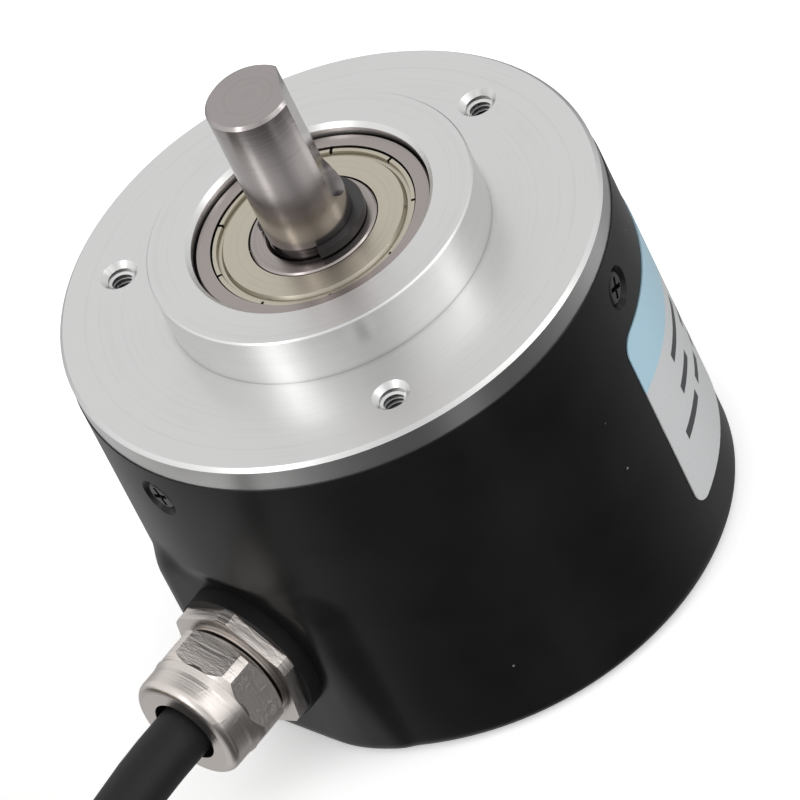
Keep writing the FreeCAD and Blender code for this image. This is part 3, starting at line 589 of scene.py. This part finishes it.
def moulded(name, colour, roughness, grain_scale=2500.0, grain_depth=0.15, specks=0.0, specular=0.4,
            speck_colour=(0.45, 0.44, 0.42), tone_change=0.25):
    """Paint, rubber or plastic: fine grain, slow change of tone, and a few specks of dust."""
    material = blank_material(name)
    tree = material.node_tree
    nodes, links = tree.nodes, tree.links

    place = nodes.new("ShaderNodeTexCoord")
    place.label = "place on the piece"
    grain = nodes.new("ShaderNodeTexNoise")
    grain.label = "surface grain"
    grain.inputs["Scale"].default_value = grain_scale
    grain.inputs["Detail"].default_value = 3
    relief = nodes.new("ShaderNodeBump")
    relief.label = "grain as relief"
    relief.inputs["Strength"].default_value = grain_depth
    relief.inputs["Distance"].default_value = 0.00003
    group = nodes.new("NodeFrame")
    group.label = "grain"
    for node in (grain, relief):
        node.parent = group

    cloud = nodes.new("ShaderNodeTexNoise")
    cloud.label = "slow change of tone"
    cloud.inputs["Scale"].default_value = 140
    cloud.inputs["Detail"].default_value = 6
    tones = nodes.new("ShaderNodeValToRGB")
    tones.label = "darker and lighter patches"
    tones.color_ramp.elements[0].position = 0.3
    tones.color_ramp.elements[0].color = (*[c * (1 - tone_change) for c in colour], 1)
    tones.color_ramp.elements[1].position = 0.7
    tones.color_ramp.elements[1].color = (*[min(1, c * (1 + tone_change)) for c in colour], 1)
    sheen = nodes.new("ShaderNodeMapRange")
    sheen.label = "uneven gloss"
    sheen.inputs["To Min"].default_value = roughness * 0.85
    sheen.inputs["To Max"].default_value = roughness * 1.15
    group = nodes.new("NodeFrame")
    group.label = "tone and gloss"
    for node in (cloud, tones, sheen):
        node.parent = group

    dust = nodes.new("ShaderNodeTexVoronoi")
    dust.label = "scattered dust"
    dust.inputs["Scale"].default_value = 420
    dust_size = nodes.new("ShaderNodeMapRange")
    dust_size.label = "only each cell's middle"
    dust_size.inputs["From Min"].default_value = 0.035
    dust_size.inputs["From Max"].default_value = 0.07
    dust_size.inputs["To Min"].default_value = 1
    dust_size.inputs["To Max"].default_value = 0
    dust_pick = nodes.new("ShaderNodeSeparateColor")
    dust_pick.label = "a number for each speck"
    dust_few = nodes.new("ShaderNodeMath")
    dust_few.label = "keep only a few"
    dust_few.operation = "GREATER_THAN"
    dust_few.inputs[1].default_value = 0.93
    dust_show = nodes.new("ShaderNodeMath")
    dust_show.label = "few and small"
    dust_show.operation = "MULTIPLY"
    dust_weight = nodes.new("ShaderNodeMath")
    dust_weight.label = "how pale"
    dust_weight.operation = "MULTIPLY"
    dust_weight.inputs[1].default_value = specks
    dusty = nodes.new("ShaderNodeMix")
    dusty.label = "dust on the colour"
    dusty.data_type = "RGBA"
    dusty.inputs["B"].default_value = (*speck_colour, 1)
    group = nodes.new("NodeFrame")
    group.label = "dust"
    for node in (dust, dust_size, dust_pick, dust_few, dust_show, dust_weight, dusty):
        node.parent = group

    surface = nodes.new("ShaderNodeBsdfPrincipled")
    surface.label = "coat"
    surface.inputs["Specular IOR Level"].default_value = specular
    output = nodes.new("ShaderNodeOutputMaterial")
    output.label = "surface"

    links.new(place.outputs["Object"], grain.inputs["Vector"])
    links.new(grain.outputs["Fac"], relief.inputs["Height"])
    links.new(place.outputs["Object"], cloud.inputs["Vector"])
    links.new(cloud.outputs["Fac"], tones.inputs["Fac"])
    links.new(cloud.outputs["Fac"], sheen.inputs["Value"])
    links.new(place.outputs["Object"], dust.inputs["Vector"])
    links.new(dust.outputs["Distance"], dust_size.inputs["Value"])
    links.new(dust.outputs["Color"], dust_pick.inputs["Color"])
    links.new(dust_pick.outputs["Red"], dust_few.inputs[0])
    links.new(dust_size.outputs["Result"], dust_show.inputs[0])
    links.new(dust_few.outputs["Value"], dust_show.inputs[1])
    links.new(dust_show.outputs["Value"], dust_weight.inputs[0])
    links.new(dust_weight.outputs["Value"], dusty.inputs["Factor"])
    links.new(tones.outputs["Color"], dusty.inputs["A"])
    links.new(dusty.outputs["Result"], surface.inputs["Base Color"])
    links.new(sheen.outputs["Result"], surface.inputs["Roughness"])
    links.new(relief.outputs["Normal"], surface.inputs["Normal"])
    links.new(surface.outputs["BSDF"], output.inputs["Surface"])
    lay_out(tree)
    return material


def label_film(name):
    """Wrapped sticker: pale-blue band over silver, with rows of plain bars where print would be."""
    material = blank_material(name)
    tree = material.node_tree
    nodes, links = tree.nodes, tree.links

    place = nodes.new("ShaderNodeTexCoord")
    place.label = "place on the piece"
    parts = nodes.new("ShaderNodeSeparateXYZ")
    parts.label = "height on the cup"
    band = nodes.new("ShaderNodeMapRange")
    band.label = "edge of the blue band"
    band.inputs["From Min"].default_value = 20.55 * MM
    band.inputs["From Max"].default_value = 20.65 * MM
    fleck = nodes.new("ShaderNodeTexNoise")
    fleck.label = "metal flake in the film"
    fleck.inputs["Scale"].default_value = 5200
    fleck.inputs["Detail"].default_value = 2
    silver = nodes.new("ShaderNodeValToRGB")
    silver.label = "silver film"
    silver.color_ramp.elements[0].color = (0.47, 0.475, 0.48, 1)
    silver.color_ramp.elements[1].color = (0.57, 0.575, 0.58, 1)
    blue = nodes.new("ShaderNodeValToRGB")
    blue.label = "blue film"
    blue.color_ramp.elements[0].color = (0.32, 0.495, 0.60, 1)
    blue.color_ramp.elements[1].color = (0.40, 0.57, 0.66, 1)
    films = nodes.new("ShaderNodeMix")
    films.label = "blue over silver"
    films.data_type = "RGBA"
    group = nodes.new("NodeFrame")
    group.label = "film colours"
    for node in (parts, band, fleck, silver, blue, films):
        node.parent = group

    angle = nodes.new("ShaderNodeMath")
    angle.label = "angle round the cup"
    angle.operation = "ARCTAN2"
    rows = nodes.new("ShaderNodeMath")
    rows.label = "height counted in rows"
    rows.operation = "MULTIPLY_ADD"
    rows.inputs[1].default_value = 1 / (3.0 * MM)
    rows.inputs[2].default_value = -0.55
    row_number = nodes.new("ShaderNodeMath")
    row_number.label = "row number"
    row_number.operation = "FLOOR"
    row_part = nodes.new("ShaderNodeMath")
    row_part.label = "height within the row"
    row_part.operation = "FRACT"
    row_ink = nodes.new("ShaderNodeMath")
    row_ink.label = "inked part of a row"
    row_ink.operation = "COMPARE"
    row_ink.inputs[1].default_value = 0.5
    row_ink.inputs[2].default_value = 0.17
    word_place = nodes.new("ShaderNodeCombineXYZ")
    word_place.label = "angle and row"
    word_scale = nodes.new("ShaderNodeVectorMath")
    word_scale.label = "bars about as long as words"
    word_scale.operation = "MULTIPLY"
    word_scale.inputs[1].default_value = (6, 7.3, 1)
    words = nodes.new("ShaderNodeTexNoise")
    words.label = "where bars start and stop"
    words.inputs["Scale"].default_value = 1
    words.inputs["Detail"].default_value = 0
    word_ink = nodes.new("ShaderNodeMath")
    word_ink.label = "bars with gaps"
    word_ink.operation = "GREATER_THAN"
    word_ink.inputs[1].default_value = 0.42
    low_edge = nodes.new("ShaderNodeMath")
    low_edge.label = "none near the lower edge"
    low_edge.operation = "GREATER_THAN"
    low_edge.inputs[1].default_value = 10.4 * MM
    high_edge = nodes.new("ShaderNodeMath")
    high_edge.label = "none near the upper edge"
    high_edge.operation = "LESS_THAN"
    high_edge.inputs[1].default_value = 19.6 * MM
    start_edge = nodes.new("ShaderNodeMath")
    start_edge.label = "none near the left edge"
    start_edge.operation = "GREATER_THAN"
    start_edge.inputs[1].default_value = radians(-36)
    ink_a = nodes.new("ShaderNodeMath")
    ink_a.label = "row and bar"
    ink_a.operation = "MULTIPLY"
    ink_b = nodes.new("ShaderNodeMath")
    ink_b.label = "above the lower edge"
    ink_b.operation = "MULTIPLY"
    ink_c = nodes.new("ShaderNodeMath")
    ink_c.label = "below the upper edge"
    ink_c.operation = "MULTIPLY"
    ink_d = nodes.new("ShaderNodeMath")
    ink_d.label = "inside the left edge"
    ink_d.operation = "MULTIPLY"
    printed = nodes.new("ShaderNodeMix")
    printed.label = "ink on the film"
    printed.data_type = "RGBA"
    printed.inputs["B"].default_value = (0.035, 0.035, 0.04, 1)
    group = nodes.new("NodeFrame")
    group.label = "plain printed bars"
    for node in (angle, rows, row_number, row_part, row_ink, word_place, word_scale, words, word_ink,
                 low_edge, high_edge, start_edge, ink_a, ink_b, ink_c, ink_d, printed):
        node.parent = group

    surface = nodes.new("ShaderNodeBsdfPrincipled")
    surface.label = "satin film"
    surface.inputs["Roughness"].default_value = 0.34
    surface.inputs["Metallic"].default_value = 0.15
    output = nodes.new("ShaderNodeOutputMaterial")
    output.label = "surface"

    links.new(place.outputs["Object"], parts.inputs["Vector"])
    links.new(parts.outputs["Z"], band.inputs["Value"])
    links.new(place.outputs["Object"], fleck.inputs["Vector"])
    links.new(fleck.outputs["Fac"], silver.inputs["Fac"])
    links.new(fleck.outputs["Fac"], blue.inputs["Fac"])
    links.new(band.outputs["Result"], films.inputs["Factor"])
    links.new(silver.outputs["Color"], films.inputs["A"])
    links.new(blue.outputs["Color"], films.inputs["B"])
    links.new(parts.outputs["Y"], angle.inputs[0])
    links.new(parts.outputs["X"], angle.inputs[1])
    links.new(parts.outputs["Z"], rows.inputs[0])
    links.new(rows.outputs["Value"], row_number.inputs[0])
    links.new(rows.outputs["Value"], row_part.inputs[0])
    links.new(row_part.outputs["Value"], row_ink.inputs[0])
    links.new(angle.outputs["Value"], word_place.inputs["X"])
    links.new(row_number.outputs["Value"], word_place.inputs["Y"])
    links.new(word_place.outputs["Vector"], word_scale.inputs[0])
    links.new(word_scale.outputs["Vector"], words.inputs["Vector"])
    links.new(words.outputs["Fac"], word_ink.inputs[0])
    links.new(parts.outputs["Z"], low_edge.inputs[0])
    links.new(parts.outputs["Z"], high_edge.inputs[0])
    links.new(angle.outputs["Value"], start_edge.inputs[0])
    links.new(row_ink.outputs["Value"], ink_a.inputs[0])
    links.new(word_ink.outputs["Value"], ink_a.inputs[1])
    links.new(ink_a.outputs["Value"], ink_b.inputs[0])
    links.new(low_edge.outputs["Value"], ink_b.inputs[1])
    links.new(ink_b.outputs["Value"], ink_c.inputs[0])
    links.new(high_edge.outputs["Value"], ink_c.inputs[1])
    links.new(ink_c.outputs["Value"], ink_d.inputs[0])
    links.new(start_edge.outputs["Value"], ink_d.inputs[1])
    links.new(films.outputs["Result"], printed.inputs["A"])
    links.new(ink_d.outputs["Value"], printed.inputs["Factor"])
    links.new(printed.outputs["Result"], surface.inputs["Base Color"])
    links.new(surface.outputs["BSDF"], output.inputs["Surface"])
    lay_out(tree)
    return material


def clear_disc(name, tint, slits, inner, outer):
    """Clear glass with a ring of dark radial lines between two radii."""
    material = blank_material(name)
    tree = material.node_tree
    nodes, links = tree.nodes, tree.links

    place = nodes.new("ShaderNodeTexCoord")
    place.label = "place on the piece"
    parts = nodes.new("ShaderNodeSeparateXYZ")
    parts.label = "across the disc"
    angle = nodes.new("ShaderNodeMath")
    angle.label = "angle round the shaft"
    angle.operation = "ARCTAN2"
    count = nodes.new("ShaderNodeMath")
    count.label = "angle counted in lines"
    count.operation = "MULTIPLY"
    count.inputs[1].default_value = slits
    wave = nodes.new("ShaderNodeMath")
    wave.label = "line and gap"
    wave.operation = "SINE"
    line = nodes.new("ShaderNodeMath")
    line.label = "dark lines"
    line.operation = "GREATER_THAN"
    line.inputs[1].default_value = 0.0
    flat = nodes.new("ShaderNodeCombineXYZ")
    flat.label = "sideways only"
    radius = nodes.new("ShaderNodeVectorMath")
    radius.label = "distance from the axis"
    radius.operation = "LENGTH"
    track = nodes.new("ShaderNodeMath")
    track.label = "inside the track"
    track.operation = "COMPARE"
    track.inputs[1].default_value = (inner + outer) / 2
    track.inputs[2].default_value = (outer - inner) / 2
    dark = nodes.new("ShaderNodeMath")
    dark.label = "lines only in the track"
    dark.operation = "MULTIPLY"
    group = nodes.new("NodeFrame")
    group.label = "code track"
    for node in (parts, angle, count, wave, line, flat, radius, track, dark):
        node.parent = group

    dust = nodes.new("ShaderNodeTexNoise")
    dust.label = "faint smears"
    dust.inputs["Scale"].default_value = 300
    smear = nodes.new("ShaderNodeMapRange")
    smear.label = "smears dull the gloss"
    smear.inputs["To Min"].default_value = 0.02
    smear.inputs["To Max"].default_value = 0.12
    clear = nodes.new("ShaderNodeBsdfPrincipled")
    clear.label = "glass"
    clear.inputs["Base Color"].default_value = (*tint, 1)
    clear.inputs["Transmission Weight"].default_value = 0.95
    clear.inputs["IOR"].default_value = 1.5
    chrome = nodes.new("ShaderNodeBsdfPrincipled")
    chrome.label = "dark metal lines"
    chrome.inputs["Base Color"].default_value = (0.03, 0.03, 0.035, 1)
    chrome.inputs["Metallic"].default_value = 0.6
    chrome.inputs["Roughness"].default_value = 0.25
    both = nodes.new("ShaderNodeMixShader")
    both.label = "lines on glass"
    output = nodes.new("ShaderNodeOutputMaterial")
    output.label = "surface"

    links.new(place.outputs["Object"], parts.inputs["Vector"])
    links.new(parts.outputs["Y"], angle.inputs[0])
    links.new(parts.outputs["X"], angle.inputs[1])
    links.new(angle.outputs["Value"], count.inputs[0])
    links.new(count.outputs["Value"], wave.inputs[0])
    links.new(wave.outputs["Value"], line.inputs[0])
    links.new(parts.outputs["X"], flat.inputs["X"])
    links.new(parts.outputs["Y"], flat.inputs["Y"])
    links.new(flat.outputs["Vector"], radius.inputs[0])
    links.new(radius.outputs["Value"], track.inputs[0])
    links.new(line.outputs["Value"], dark.inputs[0])
    links.new(track.outputs["Value"], dark.inputs[1])
    links.new(place.outputs["Object"], dust.inputs["Vector"])
    links.new(dust.outputs["Fac"], smear.inputs["Value"])
    links.new(smear.outputs["Result"], clear.inputs["Roughness"])
    links.new(dark.outputs["Value"], both.inputs["Fac"])
    links.new(clear.outputs["BSDF"], both.inputs[1])
    links.new(chrome.outputs["BSDF"], both.inputs[2])
    links.new(both.outputs["Shader"], output.inputs["Surface"])
    lay_out(tree)
    return material


def solder_mask(name):
    """Green board: tracks under the mask, a few bare pads."""
    material = blank_material(name)
    tree = material.node_tree
    nodes, links = tree.nodes, tree.links

    place = nodes.new("ShaderNodeTexCoord")
    place.label = "place on the piece"
    tracks = nodes.new("ShaderNodeTexBrick")
    tracks.label = "tracks"
    tracks.offset = 0.37
    tracks.inputs["Scale"].default_value = 260
    tracks.inputs["Mortar Size"].default_value = 0.035
    tracks.inputs["Mortar Smooth"].default_value = 0.1
    tracks.inputs["Color1"].default_value = (0.010, 0.085, 0.040, 1)
    tracks.inputs["Color2"].default_value = (0.012, 0.100, 0.045, 1)
    tracks.inputs["Mortar"].default_value = (0.030, 0.190, 0.080, 1)
    pads = nodes.new("ShaderNodeTexVoronoi")
    pads.label = "solder pads"
    pads.inputs["Scale"].default_value = 420
    pads.inputs["Randomness"].default_value = 0.35
    pad_edge = nodes.new("ShaderNodeMath")
    pad_edge.label = "pad's edge"
    pad_edge.operation = "LESS_THAN"
    pad_edge.inputs[1].default_value = 0.16
    pad_pick = nodes.new("ShaderNodeSeparateColor")
    pad_pick.label = "a number for each pad"
    pad_few = nodes.new("ShaderNodeMath")
    pad_few.label = "only some"
    pad_few.operation = "GREATER_THAN"
    pad_few.inputs[1].default_value = 0.82
    pad = nodes.new("ShaderNodeMath")
    pad.label = "pads"
    pad.operation = "MULTIPLY"
    colour = nodes.new("ShaderNodeMix")
    colour.label = "mask and solder"
    colour.data_type = "RGBA"
    colour.inputs["B"].default_value = (0.62, 0.62, 0.60, 1)
    group = nodes.new("NodeFrame")
    group.label = "tracks and pads"
    for node in (tracks, pads, pad_edge, pad_pick, pad_few, pad, colour):
        node.parent = group
    surface = nodes.new("ShaderNodeBsdfPrincipled")
    surface.label = "mask"
    surface.inputs["Roughness"].default_value = 0.3
    output = nodes.new("ShaderNodeOutputMaterial")
    output.label = "surface"

    links.new(place.outputs["Object"], tracks.inputs["Vector"])
    links.new(place.outputs["Object"], pads.inputs["Vector"])
    links.new(pads.outputs["Distance"], pad_edge.inputs[0])
    links.new(pads.outputs["Color"], pad_pick.inputs["Color"])
    links.new(pad_pick.outputs["Red"], pad_few.inputs[0])
    links.new(pad_edge.outputs["Value"], pad.inputs[0])
    links.new(pad_few.outputs["Value"], pad.inputs[1])
    links.new(pad.outputs["Value"], colour.inputs["Factor"])
    links.new(tracks.outputs["Color"], colour.inputs["A"])
    links.new(colour.outputs["Result"], surface.inputs["Base Color"])
    links.new(pad.outputs["Value"], surface.inputs["Metallic"])
    links.new(surface.outputs["BSDF"], output.inputs["Surface"])
    lay_out(tree)
    return material


GLAND_TURN = (radians(90), 0, GLAND_AZIMUTH + radians(90))
GLAND_CENTRE = (0, 0, GLAND_Z)

FINISHES = {
    "turned_aluminium": turned_metal("turned_aluminium", (0.73, 0.73, 0.725), (0.62, 0.62, 0.615), 0.36,
                                     ring_depth=0.06, scratch=0.10),
    "bearing_steel": turned_metal("bearing_steel", (0.40, 0.36, 0.345), (0.24, 0.215, 0.205), 0.30,
                                  ring_scale=3600, ring_depth=0.12),
    "ball_steel": turned_metal("ball_steel", (0.80, 0.80, 0.80), (0.66, 0.66, 0.66), 0.12, ring_depth=0.02),
    "zinc_shield": turned_metal("zinc_shield", (0.56, 0.52, 0.43), (0.38, 0.35, 0.28), 0.34, ring_depth=0.05),
    "cage_steel": turned_metal("cage_steel", (0.60, 0.58, 0.55), (0.42, 0.40, 0.38), 0.38),
    # The shaft's painted shade reaches 5 mm and starts early, so its lower part beside the bearing is painted
    # darker.
    "shaft_steel": turned_metal("shaft_steel", (0.40, 0.37, 0.365), (0.335, 0.307, 0.302), 0.25,
                                ring_scale=3000, ring_depth=0.16, painted_shade_reach=5 * MM, painted_shade_from=0.9),
    "hub_aluminium": turned_metal("hub_aluminium", (0.78, 0.78, 0.78), (0.60, 0.60, 0.60), 0.30),
    "screw_steel": turned_metal("screw_steel", (0.70, 0.70, 0.70), (0.50, 0.50, 0.50), 0.30),
    "standoff_brass": turned_metal("standoff_brass", (0.80, 0.62, 0.30), (0.58, 0.42, 0.18), 0.28),
    "tin_plate": turned_metal("tin_plate", (0.75, 0.75, 0.73), (0.55, 0.55, 0.54), 0.30, ring_depth=0.05),
    "nickel_brass": turned_metal("nickel_brass", (0.70, 0.65, 0.615), (0.46, 0.42, 0.39), 0.35,
                                 ring_scale=1900, ring_depth=1.0, turn=GLAND_TURN, centre=GLAND_CENTRE,
                                 scratch=0.5, blotch=0.6, ring_height=0.07 * MM),
    "spring_steel": moulded("spring_steel", (0.018, 0.017, 0.017), 0.30, specular=0.6),
    "screw_black": moulded("screw_black", (0.008, 0.008, 0.008), 0.24, specular=0.5),
    "housing_black": moulded("housing_black", (0.006, 0.006, 0.006), 0.32, grain_scale=4200, grain_depth=0.10,
                             specks=0.5, specular=0.24),
    "rubber_black": moulded("rubber_black", (0.007, 0.007, 0.007), 0.55, specular=0.22),
    "cable_jacket": moulded("cable_jacket", (0.011, 0.011, 0.012), 0.50, grain_scale=3000, grain_depth=0.2,
                            specular=0.27),
    "chip_black": moulded("chip_black", (0.018, 0.018, 0.018), 0.45),
    "sensor_plastic": moulded("sensor_plastic", (0.022, 0.022, 0.024), 0.42),
    "connector_white": moulded("connector_white", (0.75, 0.72, 0.62), 0.4, tone_change=0.06),
    "tie_black": moulded("tie_black", (0.020, 0.020, 0.020), 0.38),
    "insulation_red": moulded("insulation_red", (0.50, 0.025, 0.02), 0.35, tone_change=0.08),
    "insulation_black": moulded("insulation_black", (0.015, 0.015, 0.015), 0.35),
    "insulation_green": moulded("insulation_green", (0.015, 0.22, 0.06), 0.35, tone_change=0.08),
    "insulation_white": moulded("insulation_white", (0.78, 0.78, 0.75), 0.35, tone_change=0.04),
    "insulation_yellow": moulded("insulation_yellow", (0.80, 0.52, 0.03), 0.35, tone_change=0.06),
    "label_film": label_film("label_film"),
    "disc_glass": clear_disc("disc_glass", (0.86, 0.92, 0.93), 250, 13.4 * MM, 15.3 * MM),
    "lens_clear": clear_disc("lens_clear", (0.80, 0.62, 0.58), 1, 90 * MM, 91 * MM),
    "board_green": solder_mask("board_green"),
}


def finish_nodes():
    """Gives each CAD node its slot's finish."""
    for part in frame["record"]["subparts"]:
        piece = cad_nodes[part["node"]]
        piece.data.materials.clear()
        piece.data.materials.append(FINISHES[part["material_slot"]])


finish_nodes()
cable.data.materials.append(FINISHES["cable_jacket"])
housing.data.materials.append(FINISHES["housing_black"])
cover_screws.data.materials.append(FINISHES["screw_black"])
for ridge in threads:
    ridge.data.materials.append(FINISHES["turned_aluminium"])


# ---------------------------------------------------------------- stage and light

def area_light(name, place, aim, size, power):
    data = bpy.data.lights.new(name, "AREA")
    data.shape = "RECTANGLE"
    data.size, data.size_y = size
    data.energy = power
    light = bpy.data.objects.new(name, data)
    light.location = place
    light.rotation_mode = "QUATERNION"
    light.rotation_quaternion = (Vector(aim) - Vector(place)).to_track_quat("-Z", "Y")
    bpy.context.scene.collection.objects.link(light)


def azimuth_ramp(ramp, stops):
    """Sets a colour ramp to greys at azimuths in degrees, all the way round."""
    while len(ramp.elements) > 1:
        ramp.elements.remove(ramp.elements[-1])
    for number, (azimuth, grey) in enumerate(stops):
        element = ramp.elements[0] if number == 0 else ramp.elements.new((azimuth + 180) / 360)
        element.position = (azimuth + 180) / 360
        element.color = (grey, grey, grey, 1)


def studio_world():
    """White tent above the table with a gap at the front, and dark surroundings below it."""
    world = bpy.data.worlds.new("studio")
    world.use_nodes = True
    tree = world.node_tree
    tree.nodes.clear()
    place = tree.nodes.new("ShaderNodeTexCoord")
    place.label = "direction"
    parts = tree.nodes.new("ShaderNodeSeparateXYZ")
    parts.label = "direction's parts"
    angle = tree.nodes.new("ShaderNodeMath")
    angle.label = "azimuth"
    angle.operation = "ARCTAN2"
    share = tree.nodes.new("ShaderNodeMath")
    share.label = "azimuth as a share of a turn"
    share.operation = "MULTIPLY_ADD"
    share.inputs[1].default_value = 1 / (2 * pi)
    share.inputs[2].default_value = 0.5
    above = tree.nodes.new("ShaderNodeValToRGB")
    above.label = "tent"
    azimuth_ramp(above.color_ramp, [
        (-180, 0.62), (-138, 0.64), (-112, 0.52), (-92, 0.28), (-74, 0.5), (-48, 0.88),
        (-25, 0.6), (30, 0.50), (88, 0.49), (150, 0.58), (180, 0.62)])
    below = tree.nodes.new("ShaderNodeValToRGB")
    below.label = "below the table's edge"
    azimuth_ramp(below.color_ramp, [
        (-180, 0.40), (-160, 0.30), (-140, 0.11), (-118, 0.06), (-84, 0.03), (-70, 0.20),
        (-62, 0.04), (-38, 0.05), (-5, 0.14), (20, 0.30), (40, 0.16), (88, 0.22),
        (121, 0.34), (150, 0.30), (168, 0.46), (180, 0.40)])
    horizon = tree.nodes.new("ShaderNodeMapRange")
    horizon.label = "soft horizon"
    horizon.inputs["From Min"].default_value = -0.1
    horizon.inputs["From Max"].default_value = 0.2
    blend = tree.nodes.new("ShaderNodeMix")
    blend.label = "tent over dark"
    blend.data_type = "RGBA"
    light = tree.nodes.new("ShaderNodeBackground")
    light.label = "surroundings"
    light.inputs["Strength"].default_value = 1.7
    output = tree.nodes.new("ShaderNodeOutputWorld")
    output.label = "world"
    tree.links.new(place.outputs["Generated"], parts.inputs["Vector"])
    tree.links.new(parts.outputs["Y"], angle.inputs[0])
    tree.links.new(parts.outputs["X"], angle.inputs[1])
    tree.links.new(angle.outputs["Value"], share.inputs[0])
    tree.links.new(share.outputs["Value"], above.inputs["Fac"])
    tree.links.new(share.outputs["Value"], below.inputs["Fac"])
    tree.links.new(parts.outputs["Z"], horizon.inputs["Value"])
    tree.links.new(horizon.outputs["Result"], blend.inputs["Factor"])
    tree.links.new(below.outputs["Color"], blend.inputs["A"])
    tree.links.new(above.outputs["Color"], blend.inputs["B"])
    tree.links.new(blend.outputs["Result"], light.inputs["Color"])
    tree.links.new(light.outputs["Background"], output.inputs["Surface"])
    lay_out(tree)
    bpy.context.scene.world = world


def make_floor():
    bpy.ops.object.select_all(action="DESELECT")
    bpy.ops.mesh.primitive_plane_add(size=6, location=(0, 0, 0))
    floor = bpy.context.object
    floor.name = "floor"
    floor.visible_glossy = False
    paint = blank_material("floor_white")
    nodes, links = paint.node_tree.nodes, paint.node_tree.links
    surface = nodes.new("ShaderNodeBsdfPrincipled")
    surface.label = "white table"
    surface.inputs["Base Color"].default_value = (0.92, 0.92, 0.92, 1)
    surface.inputs["Roughness"].default_value = 0.8
    surface.inputs["Emission Color"].default_value = (1, 1, 1, 1)
    surface.inputs["Emission Strength"].default_value = 0.4
    output = nodes.new("ShaderNodeOutputMaterial")
    output.label = "surface"
    links.new(surface.outputs["BSDF"], output.inputs["Surface"])
    lay_out(paint.node_tree)
    floor.data.materials.append(paint)


def make_stage():
    make_floor()
    studio_world()
    area_light("front_softbox", (0, -0.6, 1.15), (0, 0, 0.03), (0.4, 0.3), 0.35)
    area_light("left_softbox", (-1.0, -0.5, 0.7), (0, 0, 0.03), (0.25, 0.9), 2.0)
    area_light("right_strip", (1.0, -0.4, 0.8), (0, 0, 0.03), (0.2, 0.9), 1.2)
    bpy.context.scene.view_settings.view_transform = "Standard"


make_stage()
bpy.context.view_layer.update()
